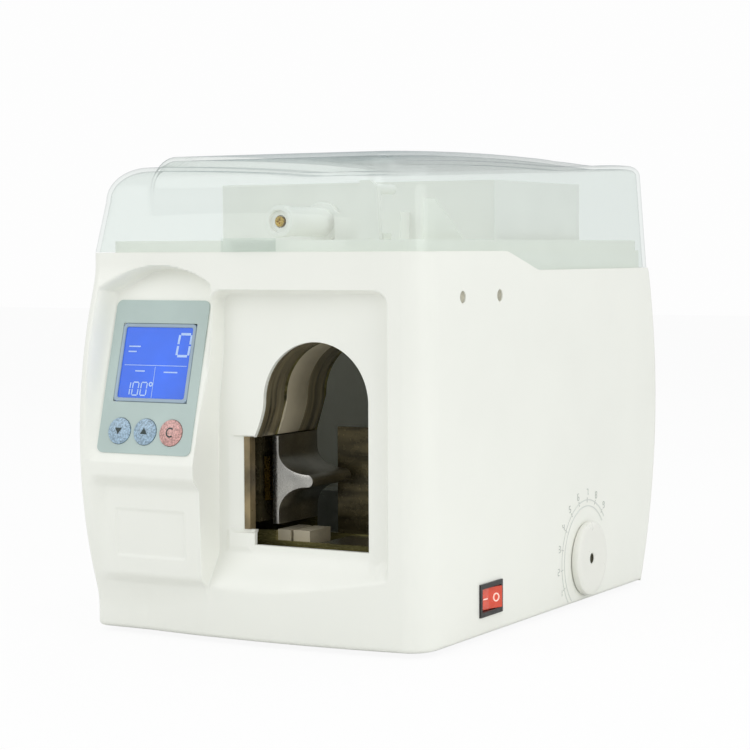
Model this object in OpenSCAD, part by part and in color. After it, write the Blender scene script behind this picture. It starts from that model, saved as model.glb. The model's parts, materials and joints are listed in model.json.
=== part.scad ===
// Countertop banknote strapping machine with a clear lid over the paper tape
// reel, a sloping display console and an arched bay for the notes.
// X runs across the front, -Y is the front, Z is up. Sizes are millimetres.

/* [Body] */
// Width over the two side walls
body_w = 230; // [200:1:260]
// Depth between the front and rear corner planes
body_d = 338.8; // [320:0.2:360]
// Height of the lid seam above the bottom edge
body_h = 231; // [225:1:245]
// Thickness of the moulded walls
wall = 3; // [2:0.25:4]
// Plan radius of the front corners
corner_r = 18; // [12:1:24]
// Forward bow of the front face at mid width
front_bow = 10; // [4:0.5:14]
// Drop of the side walls towards the rear
shoulder_drop = 12; // [6:1:16]
// Distance from the front plane to where the drop starts
shoulder_start = 107.4; // [95:0.2:125]
// Length of the sloping part of the drop
shoulder_run = 44.4; // [20:0.2:60]
// Depth of the rear cover
rear_depth = 18; // [14:1:24]
// Rearward bulge of the rear cover
rear_bulge = 18; // [10:1:22]
// Radius of the rear corners
rear_r = 12; // [8:1:16]
// Height where the rear bulge begins
rear_foot = 20; // [12:1:30]

/* [Console] */
// Width of the console column
console_w = 88; // [84:1:96]
// Forward bulge of the console column
console_bulge = 24; // [20:1:26]
// Height where the console bulge begins
console_foot = 5; // [2:1:10]
// Lean of the control panel from vertical
panel_tilt = 14.8; // [12:0.2:17]
// Width of the control panel overlay
panel_w = 68; // [64:1:70]
// Slanted height of the control panel overlay
panel_h = 95; // [90:1:97]
// Thickness of the overlay sheet
overlay_t = 0.8; // [0.4:0.1:1.2]
// Height of the panel centre
panel_z = 156.1; // [150:0.1:160]
// Distance of the panel centre in front of the corner plane
panel_out = 10.7; // [8:0.1:13]
// Arch height over the panel recess
scoop_rise = 11.8; // [6:0.2:14]
// Margin of the panel recess around the overlay
scoop_margin = 2; // [1.5:0.25:3]
// Width of the display frame
lcd_w = 53.4; // [50:0.2:56]
// Height of the display frame
lcd_h = 48.4; // [44:0.2:50]
// Width of the border round the display glass
lcd_border = 2.2; // [1.5:0.1:3]
// Height of the display centre above the panel centre
lcd_up = 8.6; // [6:0.2:10]
// Diameter of the control buttons
button_d = 16; // [14:0.5:17]
// Spacing of the control buttons
button_pitch = 18.8; // [18:0.1:20]
// Depth of the button row below the panel centre
button_down_v = 34; // [32:0.5:36]
// Button height above the overlay
button_proud = 1.8; // [1:0.1:2.5]
// Depth of the ledge under the console
ledge_depth = 7.4; // [4:0.2:9]
// Height of the ledge under the console
ledge_z = 89; // [84:1:94]
// Height of the bottom step of the column
toe_z = 31; // [26:1:36]
// Width of the label field
label_w = 50; // [40:1:54]
// Height of the label field
label_h = 28; // [20:1:32]
// Height of the label field centre
label_z = 61; // [58:1:64]
// Depth of the label field
label_deep = 0.6; // [0.4:0.1:1.2]

/* [Note bay] */
// Distance of the bay floor panel behind the corner plane
bay_back = 2.4; // [1:0.2:5]
// Width of the bay panel
bay_w = 111; // [108:1:114]
// Distance of the top of the bay panel below the lid seam
bay_down = 22; // [19:1:25]
// Height of the bottom of the bay panel
bay_bottom = 45; // [42:1:48]
// Fall of the sloping sill under the bay panel
bay_sill = 15; // [10:1:18]
// Corner radius of the bay panel
bay_r = 9; // [5:1:12]
// Radius of the arch
arch_r = 35.8; // [34:0.2:37]
// Sideways place of the arch centre
arch_x = 40.2; // [39:0.2:41]
// Height of the arch centre
arch_z = 142.5; // [140:0.5:145]
// Height of the bottom of the opening
arch_bottom = 56.3; // [54:0.1:58]
// Flare of the arch foot to the left
arch_flare = 6.8; // [4:0.2:8]
// Height of the arch foot
arch_foot = 120.7; // [118:0.1:122]
// Width of the notch beside the arch
notch_w = 9; // [7:0.5:11]
// Height of the bottom of the notch
notch_bottom = 65; // [63:0.5:67]

/* [Lid] */
// Height of the lid shoulders above the lid seam
lid_rise = 51; // [46:1:56]
// Height of the raised centre above the shoulders
hump_rise = 6; // [3:0.5:8]
// Distance of the raised centre from the sides of the body
hump_side = 31; // [25:1:45]
// Wall thickness of the lid
lid_t = 2.5; // [2:0.1:3]
// Inward lean of the lid sides
lid_lean = 5; // [3:0.5:8]
// Radius of the lid shoulders
lid_r = 15; // [10:1:18]
// Radius of the front top edge of the lid
lid_front_r = 30; // [20:1:34]
// Backward lean of the lid front
lid_front_lean = 5; // [2:0.5:8]
// Forward lean of the lid rear
lid_rear_lean = 9; // [4:0.5:12]
// Width of the finger tab
tab_w = 36; // [24:1:44]
// Height of the finger tab
tab_h = 8; // [6:0.5:10]
// Forward reach of the finger tab
tab_out = 3; // [2:0.25:5]
// Length of each lid hinge knuckle
knuckle_l = 18; // [12:1:24]
// Distance of the hinges from the sides of the body
hinge_side = 35; // [32:1:55]
// Outer diameter of the hinge knuckles
knuckle_d = 6.4; // [6:0.1:7]
// Diameter of the hinge pins
hinge_pin_d = 3; // [2.5:0.1:3.4]

/* [Top deck] */
// Height of the deck rim above the lid seam
rim_up = 7; // [5:0.5:9]
// Depth of the deck floor below the lid seam
deck_down = 5; // [4:0.5:6]
// Deck wall thickness
deck_t = 2.5; // [2:0.1:3]
// Depth of the deck skirt below the deck floor
deck_skirt = 9; // [8:0.5:10]
// Width of the tape well
well_w = 76; // [72:1:80]
// Depth of the tape well
well_deep = 12; // [8:0.5:12]
// Height of the box behind the tape reel
reel_box_h = 49; // [44:1:50]
// Distance of the box front from the front plane
reel_box_front = 119.4; // [116:0.2:122]
// Depth of the box behind the tape reel
reel_box_d = 128; // [100:1:136]
// Distance of the sides of the box from the sides of the body
reel_box_side = 15; // [13:1:25]

/* [Tape reel] */
// Sideways place of the reel axis
reel_x = -22; // [-26:0.5:-18]
// Height of the reel axis above the lid seam
reel_up = 19; // [17:0.5:21]
// Outer diameter of the reel hub
hub_d = 20; // [18:0.5:22]
// Length of the reel hub
hub_l = 56; // [50:1:58]
// Diameter of the reel stud
stud_d = 8; // [6:0.5:9]
// Diameter of the hub collar
collar_d = 26; // [24:0.5:28]
// Diameter of the spindle screw head
spindle_screw_d = 6.5; // [6:0.1:7]
// Height of the tension arm
arm_h = 38; // [34:1:40]
// Sideways place of the tension arm pivot
arm_x = 50; // [46:1:54]
// Diameter of the tension arm pin
arm_pin_d = 6; // [5:0.5:7]

/* [Frames] */
// Gap between the front panel and the front frame
guide_depth = 21; // [18:0.5:24]
// Frame plate thickness
frame_t = 2.5; // [2:0.1:3]
// Distance between the two frame plates
frame_gap = 44.5; // [42:0.5:48]
// Depth of the tape channel
channel_depth = 24.5; // [22:0.5:26]
// Wall thickness of the tape channel
channel_wall = 7; // [5:0.5:8]
// Thickness of the steel arch guides
guide_t = 1.5; // [1:0.1:2]
// Clearance between the frame plates and the switch
frame_clear = 1.5; // [1:0.25:2]
// Distance of the top of the frame plates below the lid seam
frame_down = 23; // [21:1:27]
// Diameter of the frame spacers
spacer_d = 8; // [7:0.5:10]

/* [Press and cutter] */
// Width of the nose of the anvil
nose_out = 24; // [20:0.5:25]
// Half thickness of the nose tip
nose_r = 4; // [3:0.25:5]
// Radius of the hollow flanks of the nose
flank_r = 11; // [9:0.5:13]
// Gap between the anvil and the tape channel above it
anvil_gap_top = 0.7; // [0.5:0.1:1.5]
// Gap between the anvil and the lower guide
anvil_gap_low = 3.2; // [1:0.1:5]
// Height of the lower guide above the bottom of the opening
lower_guide_up = 6.5; // [5:0.5:8]
// Thickness of the anvil plate
anvil_t = 4.6; // [4:0.1:5.5]
// Gap between the press head and the anvil
press_gap = 4; // [3.5:0.25:5]
// Travel of the press and of the cutter
press_travel = 3.5; // [2:0.25:3.5]
// Diameter of the press stem
press_stem_d = 8; // [6:0.5:9]
// Thickness of the cutter blade
cutter_t = 3; // [2:0.25:4]

/* [Drive] */
// Sideways place of the cam shaft
cam_x = -62; // [-66:0.5:-60]
// Base radius of the cams
cam_r = 9; // [8:0.5:10]
// Lift of the cams
cam_lift = 5; // [4:0.5:5.5]
// Diameter of the cam shaft
cam_shaft_d = 8; // [6:0.5:9]
// Gear module
gear_module = 1; // [0.9:0.05:1.05]
// Teeth on the large drive gear
gear_teeth = 60; // [56:1:64]
// Teeth on the motor pinion
pinion_teeth = 12; // [12:1:14]
// Face width of the gears
gear_face = 8; // [6:0.5:10]
// Diameter of the drive motor
motor_d = 36; // [30:1:37]
// Length of the drive motor
motor_l = 38; // [30:1:42]

/* [Tape feed] */
// Sideways place of the feed roller
feed_x = -40; // [-42:0.5:-38]
// Distance of the feed roller below the lid seam
feed_down = 47; // [46:0.5:51]
// Diameter of the feed roller
feed_d = 24; // [20:0.5:26]
// Diameter of the feed shaft
feed_shaft_d = 5; // [4:0.5:6]
// Diameter of the pinch roller
pinch_d = 16; // [14:0.5:18]
// Length of the pinch lever
pinch_l = 26; // [22:0.5:28]
// Width of the tape rollers
roller_l = 20; // [18:0.5:21]
// Side of the square feed motor
stepper_w = 42; // [39:0.5:43]
// Length of the feed motor
stepper_l = 34; // [30:1:38]
// Diameter of the guide roller
guide_roller_d = 12; // [10:0.5:14]

/* [Depth stop] */
// Distance of the dial axis behind the middle of the body
dial_y = 56; // [50:1:60]
// Height of the dial axis
dial_z = 28; // [27:0.5:30]
// Diameter of the dial
dial_d = 49; // [44:1:52]
// Reach of the dial outside the side wall
dial_out = 5.5; // [5:0.5:10]
// Diameter of the hole in the dial
dial_hole_d = 5.6; // [4:0.2:6]
// Diameter of the dial shaft
dial_shaft_d = 6; // [5:0.5:7]
// Teeth on the dial pinion
dial_teeth = 24; // [22:1:24]
// Turn of the dial from end to end in degrees
dial_turn = 210; // [180:5:210]
// Diameter of the guide rod
rod_d = 8; // [6:0.5:9]
// Height of the stop plate above the rod
stop_h = 60; // [50:1:64]
// Width of the stop plate
stop_w = 66; // [60:1:68]

/* [Electrics] */
// Distance of the switch behind the front plane
switch_back = 82.4; // [78:0.2:90]
// Height of the switch
switch_z = 21.5; // [20.5:0.5:23]
// Length of the switch flange
switch_w = 30; // [28:0.5:32]
// Height of the switch flange
switch_h = 20; // [18:0.5:21]
// Depth of the switch behind the side wall's face
switch_deep = 21.5; // [20:0.5:24]
// Rocker tilt to each side in degrees
rocker_tilt = 10; // [8:1:12]
// Width of the inlet socket
inlet_w = 24; // [22:0.5:26]
// Height of the inlet socket
inlet_h = 16; // [15:0.5:18]
// Sideways place of the power inlet
inlet_x = 60; // [40:1:70]
// Height of the power inlet
inlet_z = 48; // [44:1:60]

/* [Base] */
// Thickness of the base pan
pan_t = 3; // [2:0.25:4]
// Height of the base pan above the bottom edge
pan_up = 1; // [0.5:0.25:2]
// Height of the rubber feet below the bottom edge
foot_h = 3; // [2:0.5:4]
// Diameter of the rubber feet
foot_d = 18; // [14:1:22]
// Inset of the feet from the corners
foot_inset = 27; // [25:1:34]

/* [Clearances] */
// Gap between moulded parts
gap = 0.3; // [0.2:0.05:0.4]
// Radial play of turning shafts
play = 0.05; // [0.02:0.01:0.08]

/* [Hidden] */
$fn = 96;
eps = 0.01;
over = 1;

// Main planes
half_w = body_w / 2;
front_y = -body_d / 2;
rear_y = body_d / 2;
seam_y = rear_y - rear_depth;
shoulder_z = body_h - shoulder_drop;
step_y0 = front_y + shoulder_start;
step_y1 = step_y0 + shoulder_run;
bow_r = (half_w * half_w + front_bow * front_bow) / (2 * front_bow);
bow_y = front_y - front_bow + bow_r;
corner_x = half_w - corner_r;
corner_y = bow_y - sqrt(pow(bow_r - corner_r, 2) - corner_x * corner_x);

// Console column
console_x = console_w - half_w;
con_half = (body_h - console_foot) / 2;
con_r = (con_half * con_half + console_bulge * console_bulge) / (2 * console_bulge);
con_y = front_y - console_bulge + con_r;
con_z = body_h - con_half;
panel_x = console_x - panel_w / 2 - scoop_margin - wall;
panel_y = front_y - panel_out;
lcd_deep = 8;
scoop_head = 8;
ledge_inset = 4;
toe_inset = 8;
toe_ramp = 6;
toe_backing = 35;
barrel_deep = 70;
label_r = 4;
column_y = front_y - console_bulge + ledge_depth;
label_x = panel_x;

// Rear bulge
rear_half = (body_h - rear_foot) / 2;
rear_rad = (rear_half * rear_half + rear_bulge * rear_bulge) / (2 * rear_bulge);
rear_cy = rear_y + rear_bulge - rear_rad;
rear_cz = body_h - rear_half;

// Bay
bay_y = front_y + bay_back;
bay_x0 = console_x;
bay_x1 = bay_x0 + bay_w;
bay_top = body_h - bay_down;
arch_right = arch_x + arch_r;
foot_x = arch_x - arch_r - arch_flare;
guide_y0 = bay_y + wall;

// Frames
frame_f = guide_y0 + guide_depth;
frame_fb = frame_f + frame_t;
frame_r = frame_fb + frame_gap;
frame_rb = frame_r + frame_t;
channel_y1 = frame_fb + channel_depth;
pan_top = pan_up + pan_t;
frame_top = body_h - frame_down;
frame_h = frame_top - pan_top;
frame_w = body_w - 2 * (switch_deep + frame_clear);
frame_x0 = -frame_w / 2;
frame_x1 = frame_w / 2;
spacer_side = 7;
spacer_low = 16;
spacer_down = 12;
spacer_x = frame_w / 2 - spacer_side;
spacer_z0 = pan_top + spacer_low;
spacer_z1 = frame_top - spacer_down;
window_in = 7;
window_up = 6;

// Press, cutter and cams
anvil_in = 3;
anvil_set = 1;
anvil_x = foot_x - anvil_in;
anvil_front = frame_f + anvil_set;
anvil_z0 = arch_bottom + lower_guide_up + anvil_gap_low;
anvil_h = arch_foot - anvil_gap_top - anvil_z0;
anvil_z = anvil_z0 + anvil_h / 2;
press_x = anvil_x - press_gap;
press_head_t = 4;
press_head_h = 27;
press_head_d = 18;
press_back = 11.5;
cutter_front = 11;
press_y = frame_fb + press_back;
cutter_y = frame_r - cutter_front;
cam_tip = cam_r + cam_lift;
follower_x = cam_x + cam_tip + gap;
press_guide_w = 16;
press_guide_gap = 2;
press_guide_x = press_x - press_head_t - press_guide_w - press_guide_gap;
press_guide_h = 53;
cam_t = 8;
lobe_r = 5;
cam_hub_t = 3;
shaft_end = 3;
gear_clear = 2.5;
gear_y = frame_rb + gear_clear;
motor_shaft_d = 4;
motor_shaft_in = 14;
motor_bore = 8;
motor_z = anvil_z - gear_module * (gear_teeth + pinion_teeth) / 2;
backlash = 0.12;

// Feed
feed_z = body_h - feed_down;
roller_front = 2;
roller_y = frame_fb + roller_front;
pinch_x = feed_x - feed_d / 2 - pinch_d / 2 - gap;
pinch_pivot_z = feed_z - pinch_l;
guide_roller_side = 20;
guide_roller_up = 15;
guide_roller_x = feed_x + guide_roller_side;
guide_roller_z = feed_z + guide_roller_up;
roller_pin_d = 4;
feed_shaft_in = 18;

// Deck and lid
deck_z = body_h - deck_down;
deck_in = wall + gap;
rim_z = body_h + rim_up;
well_z = deck_z - well_deep;
box_y = front_y + reel_box_front;
lid_top = body_h + lid_rise;
hump_top = lid_top + hump_rise;
hump_w = body_w - 2 * hump_side;
hump_slope = 8;
lid_rear_drop = 5;
reel_box_w = body_w - 2 * reel_box_side;
hinge_x = half_w - hinge_side;
hinge_out = 0.4;
hinge_y = rear_y - knuckle_d / 2 + hinge_out;
hinge_z = shoulder_z + knuckle_d / 2;
knuckle_gap = 0.4;
reel_z = body_h + reel_up;
hub_y1 = box_y - gap;
hub_y0 = hub_y1 - hub_l;
arm_gap = 12;
arm_pivot_up = 10;
arm_y = hub_y0 - arm_gap;
arm_pivot_z = deck_z + arm_pivot_up;
arm_t = 4;
arm_half = 7;
arm_foot = 6;
arm_tip = 5;
arm_tip_cut = 4;
arm_bar_side = 2;
arm_bar_l = 28;

// Dial and stop
dial_pitch = gear_module * dial_teeth / 2;
rack_z = dial_z + dial_pitch;
stop_clear = 5.5;
stop_y = frame_rb + stop_clear;
stop_t = 3;
stop_travel = dial_pitch * dial_turn * PI / 180;
rack_x = 64;
rack_w = 8;
rod_x = 50;
rod_up = 22;
rod_run = 62;
rod_z = rack_z + rod_up;
rod_end = stop_y + stop_travel + rod_run;
dial_shaft_in = 8;
dial_edge = 2;
dial_sink = 2.5;

// Frame of the part: middle of the box that holds it, at the soles of the feet
shift_x = -dial_out / 2;
shift_y = (console_bulge - rear_bulge) / 2;

module placed() translate([shift_x, shift_y, foot_h]) children();
module along_y(y0, y1) translate([0, y1, 0]) rotate([90, 0, 0]) linear_extrude(y1 - y0) children();
module along_x(x0, x1) translate([x0, 0, 0]) rotate([90, 0, 90]) linear_extrude(x1 - x0) children();
module rod_along_y(x, z, y0, y1, d) along_y(y0, y1) translate([x, z]) circle(d = d);
module rod_along_x(y, z, x0, x1, d) along_x(x0, x1) translate([y, z]) circle(d = d);
module block(x0, x1, y0, y1, z0, z1) translate([x0, y0, z0]) cube([x1 - x0, y1 - y0, z1 - z0]);
module both_sides() {
  children();
  mirror([1, 0, 0]) children();
}
module on_panel() translate([panel_x, panel_y, panel_z]) rotate([90 - panel_tilt, 0, 0]) children();

// Rectangle with round corners, centred
module round_rect(w, h, r) {
  square([w - 2 * r, h], center = true);
  square([w, h - 2 * r], center = true);
  for (sx = [-1, 1], sy = [-1, 1]) translate([sx * (w / 2 - r), sy * (h / 2 - r)]) circle(r);
}

// Plan outline of the body, inset by t, from the bowed front back to y_end
module plan2d(t, y_end, back_r = 0) {
  r = corner_r - t;
  rad = bow_r - t;
  tan_x = corner_x * rad / (rad - r);
  for (s = [-1, 1]) translate([s * corner_x, corner_y]) circle(r);
  translate([-half_w + t, corner_y]) square([body_w - 2 * t, y_end - back_r - corner_y]);
  intersection() {
    translate([0, bow_y]) circle(rad, $fn = 720);
    translate([-tan_x, bow_y - rad - over]) square([2 * tan_x, rad - bow_y + corner_y + 2 * over]);
  }
  if (back_r > 0) {
    translate([-half_w + t + back_r, y_end - back_r - over]) square([body_w - 2 * t - 2 * back_r, back_r + over]);
    for (s = [-1, 1]) translate([s * (half_w - t - back_r), y_end - back_r]) circle(back_r);
  }
}

// Bulged barrel about an axis along X, with round edges at one or both ends
module barrel(rad, x0, x1, r0, r1, deep) {
  rotate([0, 90, 0]) rotate_extrude($fn = 360) {
    translate([rad - deep, x0 + r0]) square([deep, x1 - x0 - r0 - r1]);
    translate([rad - deep, x0]) square([deep - max(r0, r1), x1 - x0]);
    if (r0 > 0) translate([rad - r0, x0 + r0]) circle(r0);
    if (r1 > 0) translate([rad - r1, x1 - r1]) circle(r1);
  }
}
module console_barrel(t) intersection() {
  translate([0, con_y, con_z]) barrel(con_r - t, -half_w + t, console_x - t, corner_r - t, 0, barrel_deep);
  block(-half_w, console_x, front_y - console_bulge - over, front_y + corner_r, -t, body_h + t);
}
module rear_barrel(t) intersection() {
  translate([0, rear_cy, rear_cz])
    barrel(rear_rad - t, -half_w + t, half_w - t, rear_r - t, rear_r - t, barrel_deep);
  block(-half_w, half_w, seam_y - t, rear_y + rear_bulge + over, -t, shoulder_z + t);
}

// Side view of the front housing
module side_profile() polygon([[front_y - 2 * console_bulge, 0], [seam_y, 0], [seam_y, shoulder_z],
  [step_y1, shoulder_z], [step_y0, body_h], [front_y - 2 * console_bulge, body_h]]);

// Recess of the console: arch topped, with a floor that leans back
module scoop(grow) intersection() {
  w = panel_w + 2 * scoop_margin;
  low = panel_z - panel_h / 2 - scoop_margin;
  high = panel_z + panel_h / 2 + scoop_head;
  arch = (w * w / 4 + scoop_rise * scoop_rise) / (2 * scoop_rise);
  along_y(front_y - 2 * console_bulge, front_y + console_bulge) translate([panel_x, 0]) {
    translate([-w / 2 - grow, low - grow]) square([w + 2 * grow, high - low + grow]);
    intersection() {
      translate([0, high + scoop_rise - arch]) circle(arch + grow, $fn = 360);
      translate([-w / 2 - grow, high - over]) square([w + 2 * grow, scoop_rise + 2 * over + grow]);
    }
  }
  on_panel() translate([-body_w, -body_w, -overlay_t - grow]) cube(2 * body_w);
}

// Recess of the note bay: round top corners and a sloping sill
module bay(grow) intersection() {
  along_x(bay_x0 - grow, bay_x1 + grow) polygon([[front_y - 2 * console_bulge, bay_bottom - bay_sill - grow],
    [front_y - front_bow, bay_bottom - bay_sill - grow], [bay_y + grow, bay_bottom - grow],
    [bay_y + grow, bay_top + grow], [front_y - 2 * console_bulge, bay_top + grow]]);
  along_y(front_y - 2 * console_bulge, bay_y + 2 * wall) {
    translate([(bay_x0 + bay_x1) / 2, bay_top / 2]) round_rect(bay_w + 2 * grow, bay_top + 2 * grow, bay_r);
  }
}

// Step under the console
module ledge(grow) along_x(-half_w + ledge_inset - grow, console_x + (grow > 0 ? 0 : over)) {
  polygon([[front_y - 2 * console_bulge, ledge_z + ledge_depth + grow],
    [front_y - console_bulge, ledge_z + ledge_depth + grow], [column_y + grow, ledge_z + grow],
    [column_y + grow, toe_z], [front_y - 2 * console_bulge, toe_z]]);
}

// Outline of the note bay opening, grown by g
module arch2d(g) {
  translate([arch_x, arch_z]) circle(arch_r + g);
  polygon([[arch_x - arch_r - g, arch_z], [foot_x - g, arch_foot], [foot_x - g, arch_bottom - g],
    [arch_right + g, arch_bottom - g], [arch_right + g, arch_z]]);
}

module console_holes() {
  on_panel() {
    translate([0, lcd_up, -lcd_deep]) linear_extrude(2 * lcd_deep)
      square([lcd_w + 2 * gap, lcd_h + 2 * gap], center = true);
    for (i = [-1:1]) translate([i * button_pitch, -button_down_v, -lcd_deep])
      cylinder(d = button_d + 2 * gap, h = 2 * lcd_deep);
  }
}

side_screw_first = 46.6;
side_screw_last = 96;
side_screw_down = 21.7;
screw_hole_y = [front_y + side_screw_first, front_y + side_screw_last];
screw_hole_z = deck_z - side_screw_down;
screw_head_d = 7;
screw_d = 3;
screw_play = 0.4;
screw_sink = 2;
side_head_t = 1.2;
side_screw_l = 10;
screw_seat = 5;
screw_head_t = 2;
screw_tip = 2;
boss_in = 4;
boss_low = 28;
boss_down = 22;
boss_x = half_w - wall - boss_in;
boss_z = [boss_low, shoulder_z - boss_down];
dial_bore = dial_shaft_d + 2 * play;
boss_d = 9;
boss_l = 14;
dial_boss_l = 4;
dial_boss_t = 3;
switch_lip = 1;

module housing_shell() color("ivory") placed() difference() {
  union() {
    difference() {
      intersection() {
        union() {
          linear_extrude(body_h) plan2d(0, seam_y);
          console_barrel(0);
          along_x(-half_w + toe_inset, console_x) polygon([[column_y, ledge_z - toe_backing],
            [column_y + 1, toe_z + toe_ramp], [front_y - front_bow + 1, toe_z], [front_y, toe_z],
            [front_y, ledge_z - toe_backing]]);
        }
        along_x(-half_w, half_w) side_profile();
      }
      scoop(0);
      bay(0);
      ledge(0);
      difference() {
        union() {
          translate([0, 0, -over]) linear_extrude(body_h + 2 * over) plan2d(wall, seam_y + over);
          console_barrel(wall);
        }
        scoop(wall);
        bay(wall);
        ledge(wall);
      }
    }
    for (z = boss_z) both_sides() rod_along_y(boss_x, z, seam_y - boss_l, seam_y, boss_d);
    rod_along_x(dial_y, dial_z, half_w - wall - dial_boss_l, half_w - eps, dial_bore + 2 * dial_boss_t);
  }
  along_y(bay_y - over, bay_y + 2 * wall) {
    arch2d(0);
    translate([foot_x - notch_w, notch_bottom]) square([notch_w + over, arch_foot - notch_bottom - over]);
  }
  console_holes();
  translate([label_x, column_y + label_deep, label_z]) rotate([90, 0, 0])
    linear_extrude(console_bulge) round_rect(label_w, label_h, label_r);
  for (y = screw_hole_y) both_sides() {
    rod_along_x(y, screw_hole_z, half_w - screw_sink, half_w + over, screw_head_d + 2 * gap);
    rod_along_x(y, screw_hole_z, half_w - 2 * wall, half_w, screw_d + screw_play);
  }
  for (z = boss_z) both_sides() rod_along_y(boss_x, z, seam_y - boss_l - over, seam_y + over, screw_d + 2 * play);
  along_x(half_w - 2 * wall, half_w + over) translate([front_y + switch_back, switch_z])
    square([switch_w - 2 * switch_lip, switch_h - 2 * switch_lip], center = true);
  rod_along_x(dial_y, dial_z, half_w - 4 * wall, half_w + over, dial_bore);
}

swing_y = 6;
swing_z = 2;
knuckle_root = 4;
module rear_cover() color("ivory") placed() difference() {
  union() {
    difference() {
      rear_barrel(0);
      rear_barrel(wall);
    }
    intersection() {
      for (z = boss_z) both_sides() rod_along_y(boss_x, z, seam_y, rear_y + rear_bulge, boss_d);
      rear_barrel(0);
    }
    for (s = [-1, 1]) knuckles(s * hinge_x, [-1, 1]);
  }
  // Room for the swinging lower edge of the lid
  both_sides() block(-half_w - over, -hinge_x - 1.5 * knuckle_l, rear_y - swing_y, rear_y + rear_bulge,
    shoulder_z - swing_z, shoulder_z + over);
  for (z = boss_z) both_sides() {
    rod_along_y(boss_x, z, seam_y - over, rear_y + rear_bulge, screw_d + screw_play);
    rod_along_y(boss_x, z, seam_y + screw_seat, rear_y + rear_bulge, screw_head_d + 2 * gap);
  }
  along_y(seam_y, rear_y + rear_bulge) translate([inlet_x, inlet_z])
    square([inlet_w + 2 * (inlet_t + gap), inlet_h + 2 * (inlet_t + gap)], center = true);
  for (s = hinge_x * [-1, 1])
    rod_along_x(hinge_y, hinge_z, s - 1.5 * knuckle_l - over, s + 1.5 * knuckle_l + over, hinge_pin_d);
}

// Two fixed knuckles beside each lid knuckle, on webs down to the rear cover
module knuckles(x, sides) for (s = sides) {
  x0 = x + s * (knuckle_l / 2 + knuckle_gap + knuckle_l / 4) - knuckle_l / 4;
  rod_along_x(hinge_y, hinge_z, x0, x0 + knuckle_l / 2, knuckle_d);
  block(x0, x0 + knuckle_l / 2, hinge_y - knuckle_d / 2, hinge_y + knuckle_d / 2, shoulder_z - knuckle_root, hinge_z);
  block(x0, x0 + knuckle_l / 2, hinge_y - knuckle_d / 2, rear_y + wall, shoulder_z - knuckle_root, shoulder_z);
}

module rear_screws() color("gray") placed() for (z = boss_z) both_sides() {
  rod_along_y(boss_x, z, seam_y - boss_l + screw_tip, seam_y + screw_seat, screw_d);
  rod_along_y(boss_x, z, seam_y + screw_seat, seam_y + screw_seat + screw_head_t, screw_head_d);
}

post_h = 8;
post_d = 6;
post_in = 5;
pan_rear = 8.5;
board_x0 = -95;
board_x1 = -10;
board_y0 = -20;
board_y1 = 50;
module at_board_corners() {
  for (x = [board_x0 + post_in, board_x1 - post_in], y = [board_y0 + post_in, board_y1 - post_in])
    translate([x, y]) children();
}
module base_pan() color("silver") placed() {
  translate([0, 0, pan_up]) linear_extrude(pan_t) plan2d(wall + gap, rear_y - wall - pan_rear, rear_r);
  translate([0, 0, pan_top]) at_board_corners() cylinder(d = post_d, h = post_h);
}

foot_rear = 6;
module rubber_feet() color("dimgray") placed() {
  for (x = [foot_inset - half_w, half_w - foot_inset], y = [front_y + foot_inset, rear_y - foot_inset - foot_rear])
    translate([x, y, -foot_h]) cylinder(d = foot_d, h = foot_h + pan_up);
}

// Deck: floor, rim, skirt, tape well, screw lugs and the stub of the tension arm
deck_end = hinge_y - knuckle_d / 2 - gap;
rim_step = 2.7;
rim_in = deck_in + rim_step;
well_x0 = reel_x - well_w / 2;
well_x1 = reel_x + well_w / 2;
well_front = 6;
well_rear = 3;
well_y0 = hub_y0 - well_front;
well_y1 = box_y - well_rear;
lug_t = 6;
lug_half = 7;
arm_post_d = 10;
gusset_side = 19;
gusset_t = 2;
gusset_y = 30;
gusset_top = 14;
gusset_back = 20;
gusset_h = 36;
module top_deck() color("whitesmoke") placed() difference() {
  union() {
    difference() {
      translate([0, 0, deck_z - deck_skirt]) linear_extrude(body_h - deck_z + deck_skirt)
        plan2d(deck_in, deck_end, rear_r);
      translate([0, 0, deck_z]) linear_extrude(deck_skirt) plan2d(deck_in + deck_t, deck_end - deck_t, rear_r);
      translate([0, 0, deck_z - deck_skirt - over]) linear_extrude(deck_skirt + over - deck_t)
        plan2d(deck_in + deck_t, deck_end - deck_t, rear_r);
    }
    difference() {
      translate([0, 0, deck_z]) linear_extrude(rim_z - deck_z) plan2d(rim_in, deck_end, rear_r);
      translate([0, 0, deck_z - over]) linear_extrude(rim_z) plan2d(rim_in + deck_t, deck_end - deck_t, rear_r);
    }
    block(well_x0 - deck_t, well_x1 + deck_t, well_y0 - deck_t, well_y1 + deck_t, well_z - deck_t, deck_z);
    for (y = screw_hole_y) both_sides()
      block(half_w - deck_in - lug_t, half_w - deck_in, y - lug_half, y + lug_half, screw_hole_z - lug_t, deck_z);
    block(arm_x - arm_half, arm_x + arm_half, arm_y + arm_t + gap, arm_y + arm_t + arm_post_d, deck_z,
      arm_pivot_z + arm_foot);
    rod_along_y(arm_x, arm_pivot_z, arm_y, arm_y + arm_t + over, arm_pin_d);
    // Gusset on the right of the deck
    along_x(half_w - gusset_side, half_w - gusset_side + gusset_t) polygon([[front_y + gusset_y, deck_z],
      [box_y - gusset_back, deck_z], [front_y + gusset_y + gusset_top, deck_z + gusset_h],
      [front_y + gusset_y, deck_z + gusset_h]]);
  }
  block(well_x0, well_x1, well_y0, well_y1, well_z, body_h);
  scoop(wall + gap);
  for (y = screw_hole_y) both_sides()
    rod_along_x(y, screw_hole_z, half_w - deck_in - lug_t - over, half_w, screw_d + 2 * play);
}

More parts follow.
